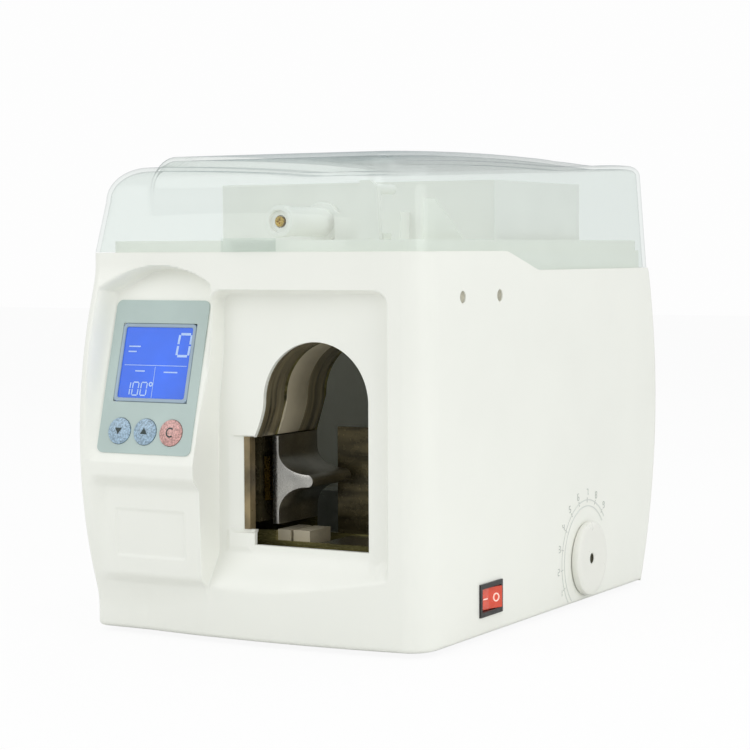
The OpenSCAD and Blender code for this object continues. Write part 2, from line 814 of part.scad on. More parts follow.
module side_screws() color("dimgray") placed() for (y = screw_hole_y) both_sides() {
  rod_along_x(y, screw_hole_z, half_w - screw_sink, half_w - screw_sink + side_head_t, screw_head_d);
  rod_along_x(y, screw_hole_z, half_w - screw_sink - side_screw_l, half_w - screw_sink, screw_d);
}

module reel_box() color("white") placed() difference() {
  block(-reel_box_w / 2, reel_box_w / 2, box_y, box_y + reel_box_d, deck_z, deck_z + reel_box_h);
  block(-reel_box_w / 2 + deck_t, reel_box_w / 2 - deck_t, box_y + deck_t, box_y + reel_box_d - deck_t,
    deck_z - over, deck_z + reel_box_h - deck_t);
}

// Front view, side view and plan of the lid, inset by t
module lid_front_view(t) {
  shoulder = lid_top - lid_r;
  inner = half_w - lid_lean - lid_r;
  polygon([[t - half_w, 0], [half_w - t, 0], [half_w - t, body_h], [half_w - lid_lean - t, shoulder],
    [t + lid_lean - half_w, shoulder], [t - half_w, body_h]]);
  for (s = [-1, 1]) translate([s * inner, shoulder]) circle(lid_r - t);
  translate([-inner, shoulder - over]) square([2 * inner, lid_r - t + over]);
  polygon([[-hump_w / 2 - hump_slope, lid_top - t - over], [hump_w / 2 + hump_slope, lid_top - t - over],
    [hump_w / 2 - t, hump_top - t], [t - hump_w / 2, hump_top - t]]);
}
module lid_side_view(t) {
  y0 = front_y - front_bow;
  z0 = hump_top - lid_front_r;
  y1 = rear_y - lid_rear_lean;
  polygon([[y0 + t, 0], [y0 + t, body_h], [y0 + lid_front_lean + t, z0],
    [y0 + lid_front_lean + lid_front_r, hump_top - t], [0, hump_top - t],
    [y1 - lid_r, lid_top - t], [y1 - t, lid_top - lid_rear_drop - lid_r / 2], [rear_y - t, body_h],
    [rear_y - t, 0]]);
  translate([y0 + lid_front_lean + lid_front_r, z0]) circle(lid_front_r - t);
}
module lid_solid(t) intersection() {
  linear_extrude(body_h + 2 * lid_top) plan2d(t, rear_y - t, rear_r - t);
  along_y(front_y - 2 * front_bow, rear_y + over) lid_front_view(t);
  along_x(-half_w, half_w) lid_side_view(t);
}
tab_x = -5;
tab_root = 2;
module clear_lid() color([0.85, 0.9, 0.9, 0.5]) placed() difference() {
  union() {
    difference() {
      lid_solid(0);
      lid_solid(lid_t);
      along_x(-half_w - over, half_w + over) polygon([[front_y - 2 * front_bow, -over], [rear_y + over, -over],
        [rear_y + over, shoulder_z + gap], [step_y1, shoulder_z + gap], [step_y0, body_h + gap],
        [front_y - 2 * front_bow, body_h + gap]]);
    }
    for (s = hinge_x * [-1, 1]) rod_along_x(hinge_y, hinge_z, s - knuckle_l / 2, s + knuckle_l / 2, knuckle_d);
    block(tab_x - tab_w / 2, tab_x + tab_w / 2, front_y - front_bow - tab_out, front_y - front_bow + tab_root,
      body_h + gap, body_h + gap + tab_h);
  }
  for (s = hinge_x * [-1, 1]) {
    rod_along_x(hinge_y, hinge_z, s - knuckle_l, s + knuckle_l, hinge_pin_d + 2 * play);
    for (side = [-1, 1]) translate([s + side * (knuckle_l * 0.75 + knuckle_gap), 0, 0])
      block(-knuckle_l / 4 - knuckle_gap, knuckle_l / 4 + knuckle_gap, hinge_y - knuckle_d, rear_y + over,
        shoulder_z, hinge_z + knuckle_d / 2 + 2 * gap);
  }
}

module hinge_pins() color("silver") placed() both_sides()
  rod_along_x(hinge_y, hinge_z, hinge_x - knuckle_l - knuckle_gap, hinge_x + knuckle_l + knuckle_gap, hinge_pin_d);

// Console pieces lie in the panel's own plane
panel_r = 4;
lcd_r = 1.5;
lcd_proud = 0.4;
glass_down = 0.5;
module console_overlay() color("lightgray") placed() on_panel() translate([0, 0, -overlay_t])
  linear_extrude(overlay_t) difference() {
    round_rect(panel_w, panel_h, panel_r);
    translate([0, lcd_up]) square([lcd_w + 2 * gap, lcd_h + 2 * gap], center = true);
    for (i = [-1:1]) translate([i * button_pitch, -button_down_v]) circle(d = button_d + 2 * gap);
  }
lcd_back = 2.6;
lcd_body_t = 6.8;
module lcd_window(h) linear_extrude(h) square([lcd_w - 2 * lcd_border, lcd_h - 2 * lcd_border], center = true);
module lcd_frame() color("slategray") placed() on_panel() translate([0, lcd_up, -lcd_back]) difference() {
  linear_extrude(lcd_back + lcd_proud) round_rect(lcd_w, lcd_h, lcd_r);
  translate([0, 0, -over]) lcd_window(lcd_back + 3 * over);
}
module lcd_module() color("royalblue") placed() on_panel() translate([0, lcd_up, -lcd_back]) {
  translate([0, 0, -lcd_body_t]) linear_extrude(lcd_body_t) square([lcd_w, lcd_h], center = true);
  lcd_window(lcd_back - glass_down);
}
board_w = -lcd_back - lcd_body_t;
button_travel = 0.8;
pcb_t = 1.6;
pcb_side = 2;
pcb_end = 6;
pcb_down = 4;
pad_d = 6;
pad_t = 0.3;
key_dome = 1.2;
key_flange_t = 1.3;
key_lap = 0.1;
key_stem_d = 5;
module console_board() color("green") placed() on_panel() translate([0, 0, board_w]) {
  translate([0, -pcb_down, -pcb_t]) linear_extrude(pcb_t)
    square([panel_w - 2 * pcb_side, panel_h - 2 * pcb_end], center = true);
  for (i = [-1:1]) translate([i * button_pitch, -button_down_v]) cylinder(d = pad_d, h = pad_t);
}
module control_button(i) placed() on_panel() translate([i * button_pitch, -button_down_v]) {
  dome_r = (button_d * button_d / 4 + key_dome * key_dome) / (2 * key_dome);
  floor_back = -overlay_t - wall;
  stem_end = board_w + pad_t + button_travel + key_lap;
  translate([0, 0, floor_back]) cylinder(d = button_d, h = button_proud - key_dome - floor_back);
  intersection() {
    translate([0, 0, button_proud - dome_r]) sphere(dome_r, $fn = 180);
    cylinder(d = button_d, h = button_proud + over);
  }
  translate([0, 0, floor_back - gap - key_flange_t]) cylinder(d = button_d + 2, h = key_flange_t);
  translate([0, 0, floor_back - gap - key_lap]) cylinder(d = button_d, h = gap + 2 * key_lap);
  translate([0, 0, stem_end]) cylinder(d = key_stem_d, h = floor_back - stem_end);
}
module button_down() color("steelblue") control_button(-1);
module button_up() color("steelblue") control_button(0);
module button_clear() color("indianred") control_button(1);

switch_y = front_y + switch_back;
switch_x0 = half_w - switch_deep;
switch_rim = 1.2;
switch_well = 14;
rocker_in = 2.5;
rocker_side = 3;
rocker_end = 3.5;
rocker_x = half_w - rocker_in;
rocker_l = switch_w - 2 * rocker_side;
rocker_h = switch_h - 2 * rocker_end;
rocker_room = 0.7;
rocker_pin_d = 2.5;
rocker_pin_out = 1.5;
rocker_root = 4;
rocker_mid = 1.6;
module switch_body() color("black") placed() difference() {
  union() {
    along_x(half_w, half_w + switch_rim) translate([switch_y, switch_z]) square([switch_w, switch_h], center = true);
    along_x(switch_x0, half_w) translate([switch_y, switch_z])
      square([switch_w - 2 * (switch_lip + gap), switch_h - 2 * (switch_lip + gap)], center = true);
  }
  along_x(half_w - switch_well, half_w + 2) translate([switch_y, switch_z])
    square([rocker_l + 2 * rocker_room, rocker_h + 1], center = true);
  translate([rocker_x, switch_y, switch_z - rocker_h / 2 - 2])
    cylinder(d = rocker_pin_d + 2 * play, h = rocker_h + 4);
}
module switch_rocker() color("orangered") placed() translate([rocker_x, switch_y, switch_z])
  rotate([0, 0, -rocker_tilt]) {
    translate([0, 0, -rocker_h / 2]) linear_extrude(rocker_h) intersection() {
      polygon([[-rocker_root, -rocker_l / 2], [rocker_side, -rocker_l / 2], [rocker_mid, 0],
        [rocker_side, rocker_l / 2], [-rocker_root, rocker_l / 2]]);
      circle(rocker_l / 2 + gap);
    }
    translate([0, 0, -rocker_h / 2 - rocker_pin_out]) cylinder(d = rocker_pin_d, h = rocker_h + 2 * rocker_pin_out);
  }

inlet_in = 6.4;
inlet_y1 = rear_y + rear_bulge - inlet_in;
inlet_deep = 17;
inlet_t = 2;
inlet_back = 5;
inlet_cut = 4;
pin_pitch = 7;
pin_side = 2;
pin_in = 3;
pin_t = 2;
pin_w = 4;
module power_inlet() color("black") placed() difference() {
  along_y(inlet_y1 - inlet_deep - inlet_back, inlet_y1) translate([inlet_x, inlet_z])
    square([inlet_w + 2 * inlet_t, inlet_h + 2 * inlet_t], center = true);
  along_y(inlet_y1 - inlet_deep, inlet_y1 + over) translate([inlet_x, inlet_z])
    polygon([[-inlet_w / 2, -inlet_h / 2], [inlet_w / 2, -inlet_h / 2], [inlet_w / 2, inlet_h / 2 - inlet_cut],
      [inlet_w / 2 - inlet_cut, inlet_h / 2], [inlet_cut - inlet_w / 2, inlet_h / 2],
      [-inlet_w / 2, inlet_h / 2 - inlet_cut]]);
}
module inlet_pins() color("silver") placed() for (i = [-1:1])
  along_y(inlet_y1 - inlet_deep, inlet_y1 - pin_in)
    translate([inlet_x + i * pin_pitch, inlet_z + (i == 0 ? pin_side : -pin_side)])
      square([pin_t, pin_w], center = true);

// Round holes that both frame plates share: [x, z, bore]
module shaft_bores() {
  translate([cam_x, anvil_z]) circle(d = cam_shaft_d + 2 * play);
  translate([feed_x, feed_z]) circle(d = feed_shaft_d + 2 * play);
}
module frame_plate() difference() {
  translate([frame_x0, pan_top]) square([frame_w, frame_h]);
  arch2d(0);
  translate([press_guide_x + window_in, arch_bottom + window_up])
    square([foot_x - press_guide_x, arch_foot - arch_bottom - window_up]);
  shaft_bores();
}
module frame_front() color("silver") placed() along_y(frame_f, frame_fb) frame_plate();
module frame_rear() color("silver") placed() along_y(frame_r, frame_rb) difference() {
  translate([frame_x0, pan_top]) square([frame_w, frame_h]);
  arch2d(0);
  shaft_bores();
  translate([cam_x, motor_z]) circle(d = motor_bore);
}
module frame_spacers() color("silver") placed()
  for (x = [-spacer_x, spacer_x], z = [spacer_z0, spacer_z1]) rod_along_y(x, z, frame_fb, frame_r, spacer_d);

module arch_band(y0, y1, t) along_y(y0, y1) difference() {
  arch2d(t);
  arch2d(0);
  translate([foot_x - t - over, 0]) square([arch_x - foot_x, arch_foot]);
  translate([foot_x, 0]) square([body_w, arch_bottom]);
}
module arch_guide_front() color("lightsteelblue") placed() arch_band(guide_y0, frame_f, guide_t);
module tape_channel() color("wheat") placed() arch_band(frame_fb, channel_y1, channel_wall);
module arch_guide_rear() color("lightsteelblue") placed() arch_band(channel_y1, frame_r, guide_t);
guard_half = 4;
guard_d = 6;
guard_low = 3;
module notch_guard() color("tan") placed()
  block(foot_x - notch_w - guard_half, foot_x - notch_w + guard_half, guide_y0, guide_y0 + guard_d,
    notch_bottom - guard_low, arch_foot);

// Block that guides the press and the cutter
slot_h = 20;
module press_guide() color("dimgray") placed() difference() {
  block(press_guide_x, press_guide_x + press_guide_w, frame_fb, frame_r,
    anvil_z - press_guide_h / 2, anvil_z + press_guide_h / 2);
  rod_along_x(press_y, anvil_z, press_guide_x - over, press_x, press_stem_d + 2 * play);
  block(press_guide_x - over, press_x, cutter_y - cutter_t / 2 - play, cutter_y + cutter_t / 2 + play,
    anvil_z - slot_h / 2 - play, anvil_z + slot_h / 2 + play);
}
module anvil_block() color("silver") placed() along_y(anvil_front, frame_r) translate([anvil_x, anvil_z]) {
  translate([0, -anvil_h / 2]) square([anvil_t, anvil_h]);
  translate([anvil_t - over, -nose_r]) square([nose_out - nose_r + over, 2 * nose_r]);
  translate([anvil_t + nose_out - nose_r, 0]) circle(nose_r);
  for (s = [0, 1]) mirror([0, s]) translate([anvil_t, nose_r]) difference() {
    translate([-over, -over]) square(flank_r + over);
    translate([flank_r, flank_r]) circle(flank_r);
  }
}
module press_bar() color("goldenrod") placed() {
  block(press_x - press_head_t, press_x, press_y - press_head_d / 2, press_y + press_head_d / 2,
    anvil_z - press_head_h / 2, anvil_z + press_head_h / 2);
  rod_along_x(press_y, anvil_z, follower_x, press_x - press_head_t + over, press_stem_d);
}
module cutter_bar() color("silver") placed() difference() {
  block(follower_x, press_x, cutter_y - cutter_t / 2, cutter_y + cutter_t / 2,
    anvil_z - slot_h / 2, anvil_z + slot_h / 2);
  translate([press_x, cutter_y - cutter_t / 2, anvil_z - slot_h]) rotate([0, 0, 45])
    cube([2 * cutter_t, 2 * cutter_t, 2 * slot_h]);
}

module cam_shaft() color("silver") placed()
  rod_along_y(cam_x, anvil_z, frame_f - shaft_end, gear_y + gear_face, cam_shaft_d);
module cam_outline() difference() {
  union() {
    circle(cam_r);
    translate([0, lobe_r - cam_tip]) circle(lobe_r);
    polygon([[-cam_r, 0], [cam_r, 0], [lobe_r, lobe_r - cam_tip], [-lobe_r, lobe_r - cam_tip]]);
  }
  circle(d = cam_shaft_d);
}
module cams() color("darkgray") placed() {
  for (y = [press_y, cutter_y]) along_y(y - cam_t / 2, y + cam_t / 2) translate([cam_x, anvil_z]) cam_outline();
  along_y(press_y, cutter_y) translate([cam_x, anvil_z]) difference() {
    circle(d = cam_shaft_d + 2 * cam_hub_t);
    circle(d = cam_shaft_d);
  }
}

// Involute gear outline with z teeth, a tooth centred on the angle at
function inv_point(rb, r, flip, mid) =
  let (a = acos(rb / r), t = tan(a) * 180 / PI - a, q = mid + flip * t) [r * cos(q), r * sin(q)];
module gear2d(z, at) {
  m = gear_module;
  pr = m * z / 2;
  rb = pr * cos(20);
  tip = pr + m;
  root = pr - 1.25 * m;
  base = max(rb + eps, root);
  inv20 = tan(20) * 180 / PI - 20;
  half = 90 / z - backlash / (2 * pr) * 180 / PI + inv20;
  steps = 5;
  polygon([for (i = [0:z - 1]) let (c = at + 360 / z * i) each concat(
    [[root * cos(c - half), root * sin(c - half)]],
    [for (k = [0:steps]) inv_point(rb, base + (tip - base) * k / steps, 1, c - half)],
    [for (k = [steps:-1:0]) inv_point(rb, base + (tip - base) * k / steps, -1, c + half)],
    [[root * cos(c + half), root * sin(c + half)]])]);
}
module drive_gear() color("ivory") placed() {
  along_y(gear_y, gear_y + gear_face) translate([cam_x, anvil_z]) difference() {
    gear2d(gear_teeth, 90);
    circle(d = cam_shaft_d);
  }
}
module motor_pinion() color("gold") placed() {
  along_y(gear_y, gear_y + gear_face) translate([cam_x, motor_z]) gear2d(pinion_teeth, 90 + 180 / pinion_teeth);
  rod_along_y(cam_x, motor_z, frame_r - motor_shaft_in, gear_y + eps, motor_shaft_d);
}
module drive_motor() color("gray") placed() difference() {
  rod_along_y(cam_x, motor_z, frame_r - motor_l, frame_r, motor_d);
  rod_along_y(cam_x, motor_z, frame_r - motor_shaft_in - over, frame_r + over, motor_shaft_d + 2 * play);
}

module feed_motor() color("dimgray") placed() difference() {
  block(feed_x - stepper_w / 2, feed_x + stepper_w / 2, frame_rb, frame_rb + stepper_l,
    feed_z - stepper_w / 2, feed_z + stepper_w / 2);
  rod_along_y(feed_x, feed_z, frame_rb - over, frame_rb + feed_shaft_in + over, feed_shaft_d + 2 * play);
}
module feed_shaft() color("silver") placed()
  rod_along_y(feed_x, feed_z, frame_f - shaft_end, frame_rb + feed_shaft_in, feed_shaft_d);
module feed_roller() color("dimgray") placed() along_y(roller_y, roller_y + roller_l)
  translate([feed_x, feed_z]) difference() {
    circle(d = feed_d);
    circle(d = feed_shaft_d);
  }
pinch_pin_d = 5;
lever_y = roller_y + roller_l + gap;
lever_t = 3;
lever_d = 10;
module pinch_pivot() color("silver") placed() rod_along_y(pinch_x, pinch_pivot_z, frame_fb, frame_r, pinch_pin_d);
module pinch_lever() color("gray") placed() difference() {
  union() {
    along_y(lever_y, lever_y + lever_t) {
      translate([pinch_x, pinch_pivot_z]) circle(d = lever_d);
      translate([pinch_x, feed_z]) circle(d = lever_d);
      translate([pinch_x - lever_d / 2, pinch_pivot_z]) square([lever_d, pinch_l]);
    }
    rod_along_y(pinch_x, pinch_pivot_z, roller_y, lever_y + eps, lever_d);
    rod_along_y(pinch_x, feed_z, roller_y, lever_y + eps, pinch_pin_d);
  }
  rod_along_y(pinch_x, pinch_pivot_z, roller_y - over, lever_y + lever_t + over, pinch_pin_d + 2 * play);
}
module pinch_roller() color("dimgray") placed() along_y(roller_y, roller_y + roller_l)
  translate([pinch_x, feed_z]) difference() {
    circle(d = pinch_d);
    circle(d = pinch_pin_d + 2 * play);
  }
module guide_roller_pin() color("silver") placed()
  rod_along_y(guide_roller_x, guide_roller_z, frame_fb, frame_r, roller_pin_d);
module guide_roller() color("white") placed() along_y(roller_y, roller_y + roller_l)
  translate([guide_roller_x, guide_roller_z]) difference() {
    circle(d = guide_roller_d);
    circle(d = roller_pin_d + 2 * play);
  }

guide_end = 20;
guide_low = 26;
slit_x = 9;
slit_w = 2;
slit_low = 14;
module lower_guide() color("wheat") placed() difference() {
  block(foot_x, arch_x - guide_end, frame_fb, channel_y1, arch_bottom - guide_low, arch_bottom + lower_guide_up);
  block(foot_x + slit_x, foot_x + slit_x + slit_w, frame_fb - over, channel_y1 + over, arch_bottom - slit_low,
    arch_bottom + lower_guide_up + over);
}
rest_side = 16;
rest_t = 3;
rest_leg = 22;
module note_rest() color("silver") placed() {
  block(arch_x - rest_side, arch_right, frame_fb, frame_r, arch_bottom - 1 - rest_t, arch_bottom - 1);
  block(arch_x - rest_side, arch_x - rest_side + rest_t, frame_fb, frame_r, arch_bottom - rest_leg,
    arch_bottom - 1);
}
side_plate_gap = 2;
side_plate_t = 2;
side_plate_l = 50;
side_plate_up = 12;
module side_plate() color("teal") placed()
  block(arch_right + side_plate_gap, arch_right + side_plate_gap + side_plate_t, frame_rb, frame_rb + side_plate_l,
    arch_bottom, arch_z + side_plate_up);

stud_in = 4;
collar_t = 4;
spindle_in = 1.4;
slot_w = 1;
slot_l = 3.8;
module reel_stud() color("silver") placed() rod_along_y(reel_x, reel_z, hub_y0 + stud_in, box_y, stud_d);
module reel_hub() color("white") placed() difference() {
  union() {
    rod_along_y(reel_x, reel_z, hub_y0, hub_y1, hub_d);
    rod_along_y(reel_x, reel_z, hub_y1 - collar_t, hub_y1, collar_d);
  }
  rod_along_y(reel_x, reel_z, hub_y0 - over, hub_y1 + over, stud_d + 2 * play);
}
module spindle_screw() color("goldenrod") placed() difference() {
  rod_along_y(reel_x, reel_z, hub_y0 + spindle_in, hub_y0 + stud_in, spindle_screw_d);
  for (a = [0, 90]) translate([reel_x, hub_y0, reel_z]) rotate([0, a, 0])
    translate([-slot_w / 2, 0, -slot_l / 2]) cube([slot_w, spindle_in + over, slot_l]);
}
tape_guide_x = -7.5;
tape_guide_w = 47.7;
tape_guide_d = 12;
tape_guide_low = 5;
tape_guide_h = 25;
tape_knob_x = 14;
tape_knob_up = 16;
tape_knob_t = 3;
tape_knob_d = 20;
module tape_guide() color("white") placed() {
  block(tape_guide_x, tape_guide_x + tape_guide_w, box_y - tape_guide_d, box_y, deck_z + tape_guide_low,
    deck_z + tape_guide_low + tape_guide_h);
  rod_along_y(tape_knob_x, deck_z + tape_knob_up, box_y - tape_guide_d - tape_knob_t, box_y - tape_guide_d,
    tape_knob_d);
}
module tension_arm() color("white") placed() {
  difference() {
    along_y(arm_y, arm_y + arm_t) polygon([[arm_x - arm_half, arm_pivot_z - arm_foot],
      [arm_x + arm_half, arm_pivot_z - arm_foot], [arm_x + arm_tip, arm_pivot_z + arm_h - arm_tip_cut],
      [arm_x, arm_pivot_z + arm_h], [arm_x - arm_half, arm_pivot_z + arm_h]]);
    rod_along_y(arm_x, arm_pivot_z, arm_y - over, arm_y + arm_t + over, arm_pin_d + 2 * play);
  }
  rod_along_y(arm_x - arm_bar_side, arm_pivot_z + arm_h - arm_tip, arm_y + arm_t - eps, arm_y + arm_t + arm_bar_l,
    arm_pin_d);
}

module dial_knob() color("ivory") placed() {
  difference() {
    translate([half_w + gap, dial_y, dial_z]) rotate([0, 90, 0]) rotate_extrude($fn = 180) {
      square([dial_d / 2 - dial_edge, dial_out - gap]);
      square([dial_d / 2, dial_out - gap - dial_edge]);
      translate([dial_d / 2 - dial_edge, dial_out - gap - dial_edge]) circle(dial_edge, $fn = 48);
    }
    rod_along_x(dial_y, dial_z, half_w, half_w + dial_sink, dial_shaft_d);
    rod_along_x(dial_y, dial_z, half_w + dial_out - dial_sink, half_w + dial_out + over, dial_hole_d);
  }
}
module dial_shaft() color("silver") placed() {
  rod_along_x(dial_y, dial_z, rack_x - dial_shaft_in, half_w + dial_sink, dial_shaft_d);
  along_x(rack_x, rack_x + rack_w) translate([dial_y, dial_z]) gear2d(dial_teeth, 90);
}
// Rack, carriage and stop plate move as one piece
rack_end = 12;
rack_back = 8;
rack_edge = 2;
rack_y0 = stop_y + stop_t;
rack_y1 = dial_y + rack_end;
module rack2d() {
  m = gear_module;
  pitch = PI * m;
  top = rack_z + 1.25 * m;
  half_root = pitch / 4 - backlash / 2 + 1.25 * m * tan(20);
  half_tip = pitch / 4 - backlash / 2 - m * tan(20);
  translate([rack_y0, top]) square([rack_y1 - rack_y0, rack_back]);
  first = ceil((rack_y0 + rack_edge - dial_y) / pitch);
  last = floor((rack_y1 - rack_edge - dial_y) / pitch);
  for (i = [first:last - 1]) translate([dial_y + (i + 0.5) * pitch, 0])
    polygon([[-half_root, top + eps], [half_root, top + eps], [half_tip, rack_z - m], [-half_tip, rack_z - m]]);
}
stop_side = 2;
stop_low = 7;
slide_half = 8;
slide_l = 28;
web_side = 4;
web_top = 2;
module depth_stop() color("slategray") placed() {
  along_x(rack_x, rack_x + rack_w) rack2d();
  difference() {
    union() {
      block(arch_x + stop_side - stop_w / 2, arch_x + stop_side + stop_w / 2, stop_y, stop_y + stop_t,
        rod_z - stop_low, rod_z + stop_h);
      block(rod_x - slide_half, rod_x + slide_half, stop_y, stop_y + slide_l, rod_z - slide_half, rod_z + slide_half);
      block(rod_x + web_side, rack_x + rack_w, stop_y, stop_y + slide_l, rack_z + web_side, rod_z + web_top);
    }
    rod_along_y(rod_x, rod_z, stop_y - over, stop_y + slide_l + over, rod_d + 2 * play);
  }
}
bracket_t = 4;
bracket_foot_t = 2;
bracket_half = 10;
bracket_arm_t = 3;
module guide_rod() color("silver") placed() rod_along_y(rod_x, rod_z, frame_rb, rod_end + bracket_t, rod_d);
module rod_bracket() color("gray") placed() difference() {
  union() {
    block(rod_x - slide_half, rod_x + slide_half, rod_end, dial_y + bracket_half, pan_top, pan_top + bracket_foot_t);
    block(rod_x - slide_half, rod_x + slide_half, rod_end, rod_end + bracket_t, pan_top, rod_z + slide_half);
    block(rod_x + slide_half - bracket_arm_t, rod_x + slide_half, dial_y - bracket_half, dial_y + bracket_half,
      pan_top, dial_z + bracket_half);
  }
  rod_along_y(rod_x, rod_z, rod_end - over, rod_end + bracket_t + over, rod_d);
  rod_along_x(dial_y, dial_z, rod_x, rod_x + slide_half + over, dial_bore);
}

supply_y0 = 62;
supply_w = 60;
supply_d = 68;
supply_h = 58;
module power_supply() color("gray") placed()
  block(board_x0, board_x0 + supply_w, supply_y0, supply_y0 + supply_d, pan_top, pan_top + supply_h);
board_z = pan_top + post_h + pcb_t;
chip_in = 20;
chip_w = 14;
chip_t = 3.4;
module main_board() color("green") placed() {
  block(board_x0, board_x1, board_y0, board_y1, pan_top + post_h, board_z);
  translate([board_x0 + chip_in, board_y0 + chip_in, board_z]) cube([chip_w, chip_w, chip_t]);
}

housing_shell();
rear_cover();
rear_screws();
base_pan();
rubber_feet();
top_deck();
side_screws();
reel_box();
clear_lid();
hinge_pins();
console_overlay();
lcd_frame();
lcd_module();
console_board();
button_down();
button_up();
button_clear();
switch_body();
switch_rocker();
power_inlet();
inlet_pins();
frame_front();
frame_rear();
frame_spacers();
arch_guide_front();
tape_channel();
arch_guide_rear();
notch_guard();
press_guide();
anvil_block();
press_bar();
cutter_bar();
cam_shaft();
cams();
drive_gear();
drive_motor();
motor_pinion();
feed_motor();
feed_roller();
feed_shaft();
pinch_pivot();
pinch_lever();
pinch_roller();
guide_roller();
guide_roller_pin();
lower_guide();
note_rest();
side_plate();
reel_stud();
reel_hub();
spindle_screw();
tape_guide();
tension_arm();
dial_knob();
dial_shaft();
depth_stop();
guide_rod();
rod_bracket();
power_supply();
main_board();
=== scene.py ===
import json
import math

import bpy
import numpy as np
from mathutils import Matrix, Vector


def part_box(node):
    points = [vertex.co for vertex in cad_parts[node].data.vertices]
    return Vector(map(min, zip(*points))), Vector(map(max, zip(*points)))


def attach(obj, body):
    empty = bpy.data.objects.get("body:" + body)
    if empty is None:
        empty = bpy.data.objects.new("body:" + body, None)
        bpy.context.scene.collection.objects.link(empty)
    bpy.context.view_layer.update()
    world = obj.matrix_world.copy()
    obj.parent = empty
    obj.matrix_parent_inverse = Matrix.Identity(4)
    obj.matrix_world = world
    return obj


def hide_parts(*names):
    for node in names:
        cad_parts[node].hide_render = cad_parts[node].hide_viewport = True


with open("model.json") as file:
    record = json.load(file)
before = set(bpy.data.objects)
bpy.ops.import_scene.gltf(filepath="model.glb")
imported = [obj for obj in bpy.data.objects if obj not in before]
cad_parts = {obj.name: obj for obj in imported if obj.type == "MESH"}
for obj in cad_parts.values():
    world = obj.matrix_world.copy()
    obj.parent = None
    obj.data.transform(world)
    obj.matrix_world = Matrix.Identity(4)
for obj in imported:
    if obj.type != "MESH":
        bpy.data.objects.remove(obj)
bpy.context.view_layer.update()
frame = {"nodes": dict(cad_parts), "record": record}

# Lengths are millimetres in the machine's own frame (middle of the body, bottom edge of the
# shell) until a mesh is made: then they are shifted and scaled into the row frame.
M = 0.001
SEAM_Y = 151.4
shell_lo, shell_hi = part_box("housing_shell")
HALF_W = (shell_hi.x - shell_lo.x) / 2 / M
SHIFT = np.array([(shell_lo.x + shell_hi.x) / 2 / M, shell_hi.y / M - SEAM_Y, shell_lo.z / M])
BODY_H = (shell_hi.z - shell_lo.z) / M
WALL = 3.0
FRONT_Y = -169.4
REAR_Y = 169.4

# The top edge steps down to a lower shoulder towards the rear
STEP_FRONT = -62.0
STEP_REAR = -17.6
STEP_H = 12.0

# Bowed front and its round right corner
CORNER_R = 18.0
FRONT_BOW = 10.0
BOW_R = (HALF_W ** 2 + FRONT_BOW ** 2) / (2 * FRONT_BOW)
BOW_Y = FRONT_Y - FRONT_BOW + BOW_R
CORNER_X = HALF_W - CORNER_R
CORNER_Y = BOW_Y - math.sqrt((BOW_R - CORNER_R) ** 2 - CORNER_X ** 2)
TANGENT = math.asin(CORNER_X / (BOW_R - CORNER_R))

# The left front corner is sharper, and the front runs straight beside it
LEFT_R = 7.0
LEFT_X = HALF_W - LEFT_R
STRAIGHT_X = -75.0
LEFT_END = -162.0

# Console column
BULGE = 24.0
CON_HALF = (BODY_H - 5) / 2
CON_R = (CON_HALF ** 2 + BULGE ** 2) / (2 * BULGE)
CON_Y = FRONT_Y - BULGE + CON_R
CON_Z = BODY_H - CON_HALF
TILT = math.radians(14.8)
PANEL = np.array([-66.0, -180.1, 156.1])
OVERLAY_T = 0.8
KEYS_U = (-18.8, 0.0, 18.8)
KEYS_V = -34.0
KEY_HOLE_R = 8.3
DISPLAY_V = 8.6
DISPLAY_HOLE = (54.0, 49.0)
SCOOP_X = -64.3
SCOOP_HALF = 40.8
SCOOP_SIDE_TOP = 211.6
SCOOP_RISE = 11.8
SCOOP_R = (SCOOP_HALF ** 2 + SCOOP_RISE ** 2) / (2 * SCOOP_RISE)
SCOOP_EDGE = 3.0
SCOOP_LEFT_EDGE = 8.0
SCOOP_LEFT_MORE = 3.5
COLUMN_Y = -186.0
COLUMN_SLOPE = 0.04
LEDGE_Z = 89.0
LEDGE_TOP = 97.0
TOE_Z = 29.0
CREASE = 3.0
LABEL_Z = 61.0
LABEL_HALF = (25.0, 14.0)
LABEL_DEPTH = 0.9

# Note bay
BAY_Y = -167.0
BAY_X0 = -31.7
BAY_X1 = 92.0
BAY_R = 9.0
BAY_EDGE = 3.2
RIDGE_X = -29.5
RIDGE_W = 2.0
RIDGE_GROW = 3.0
LEAN_Z = 115.0
LEAN_H = 70.0
BAY_LEAN = 5.7
BAY_TOP = 209.0
SILL_TOP = 54.5
SILL_BOTTOM = 27.0
SILL_OUT = 12.4
ARCH_X = 40.2
ARCH_Z = 142.5
ARCH_R = 35.8
ARCH_BOTTOM = 56.3
ARCH_FOOT = 120.7
ARCH_FLARE = 6.8
NOTCH_W = 9.0
NOTCH_BOTTOM = 65.0
FOOT_X = ARCH_X - ARCH_R - ARCH_FLARE
RAMP_X = -21.0
RAMP_W = 9.0
RAMP_DEPTH = 2.6
PAD = (-13.0, 60.0)
PAD_HALF = (8.0, 7.0)
PAD_RISE = 1.2
POCKET = (81.0, 47.0)
POCKET_HALF = (2.4, 4.0)
POCKET_DEPTH = 0.8

# Side wall features: distance from the middle and height
SWITCH = (-87.0, 21.5)
SWITCH_HOLE = (28.0, 18.0)
DIAL = (56.0, 28.0)
SHAFT_HOLE_R = 3.1
SIDE_SCREWS = ((-122.8, 204.3), (-73.4, 204.3))
SCREW_RECESS_R = 3.8


def smooth(t):
    """Smooth step from 0 to 1."""
    t = np.clip(t, 0, 1)
    return t * t * (3 - 2 * t)


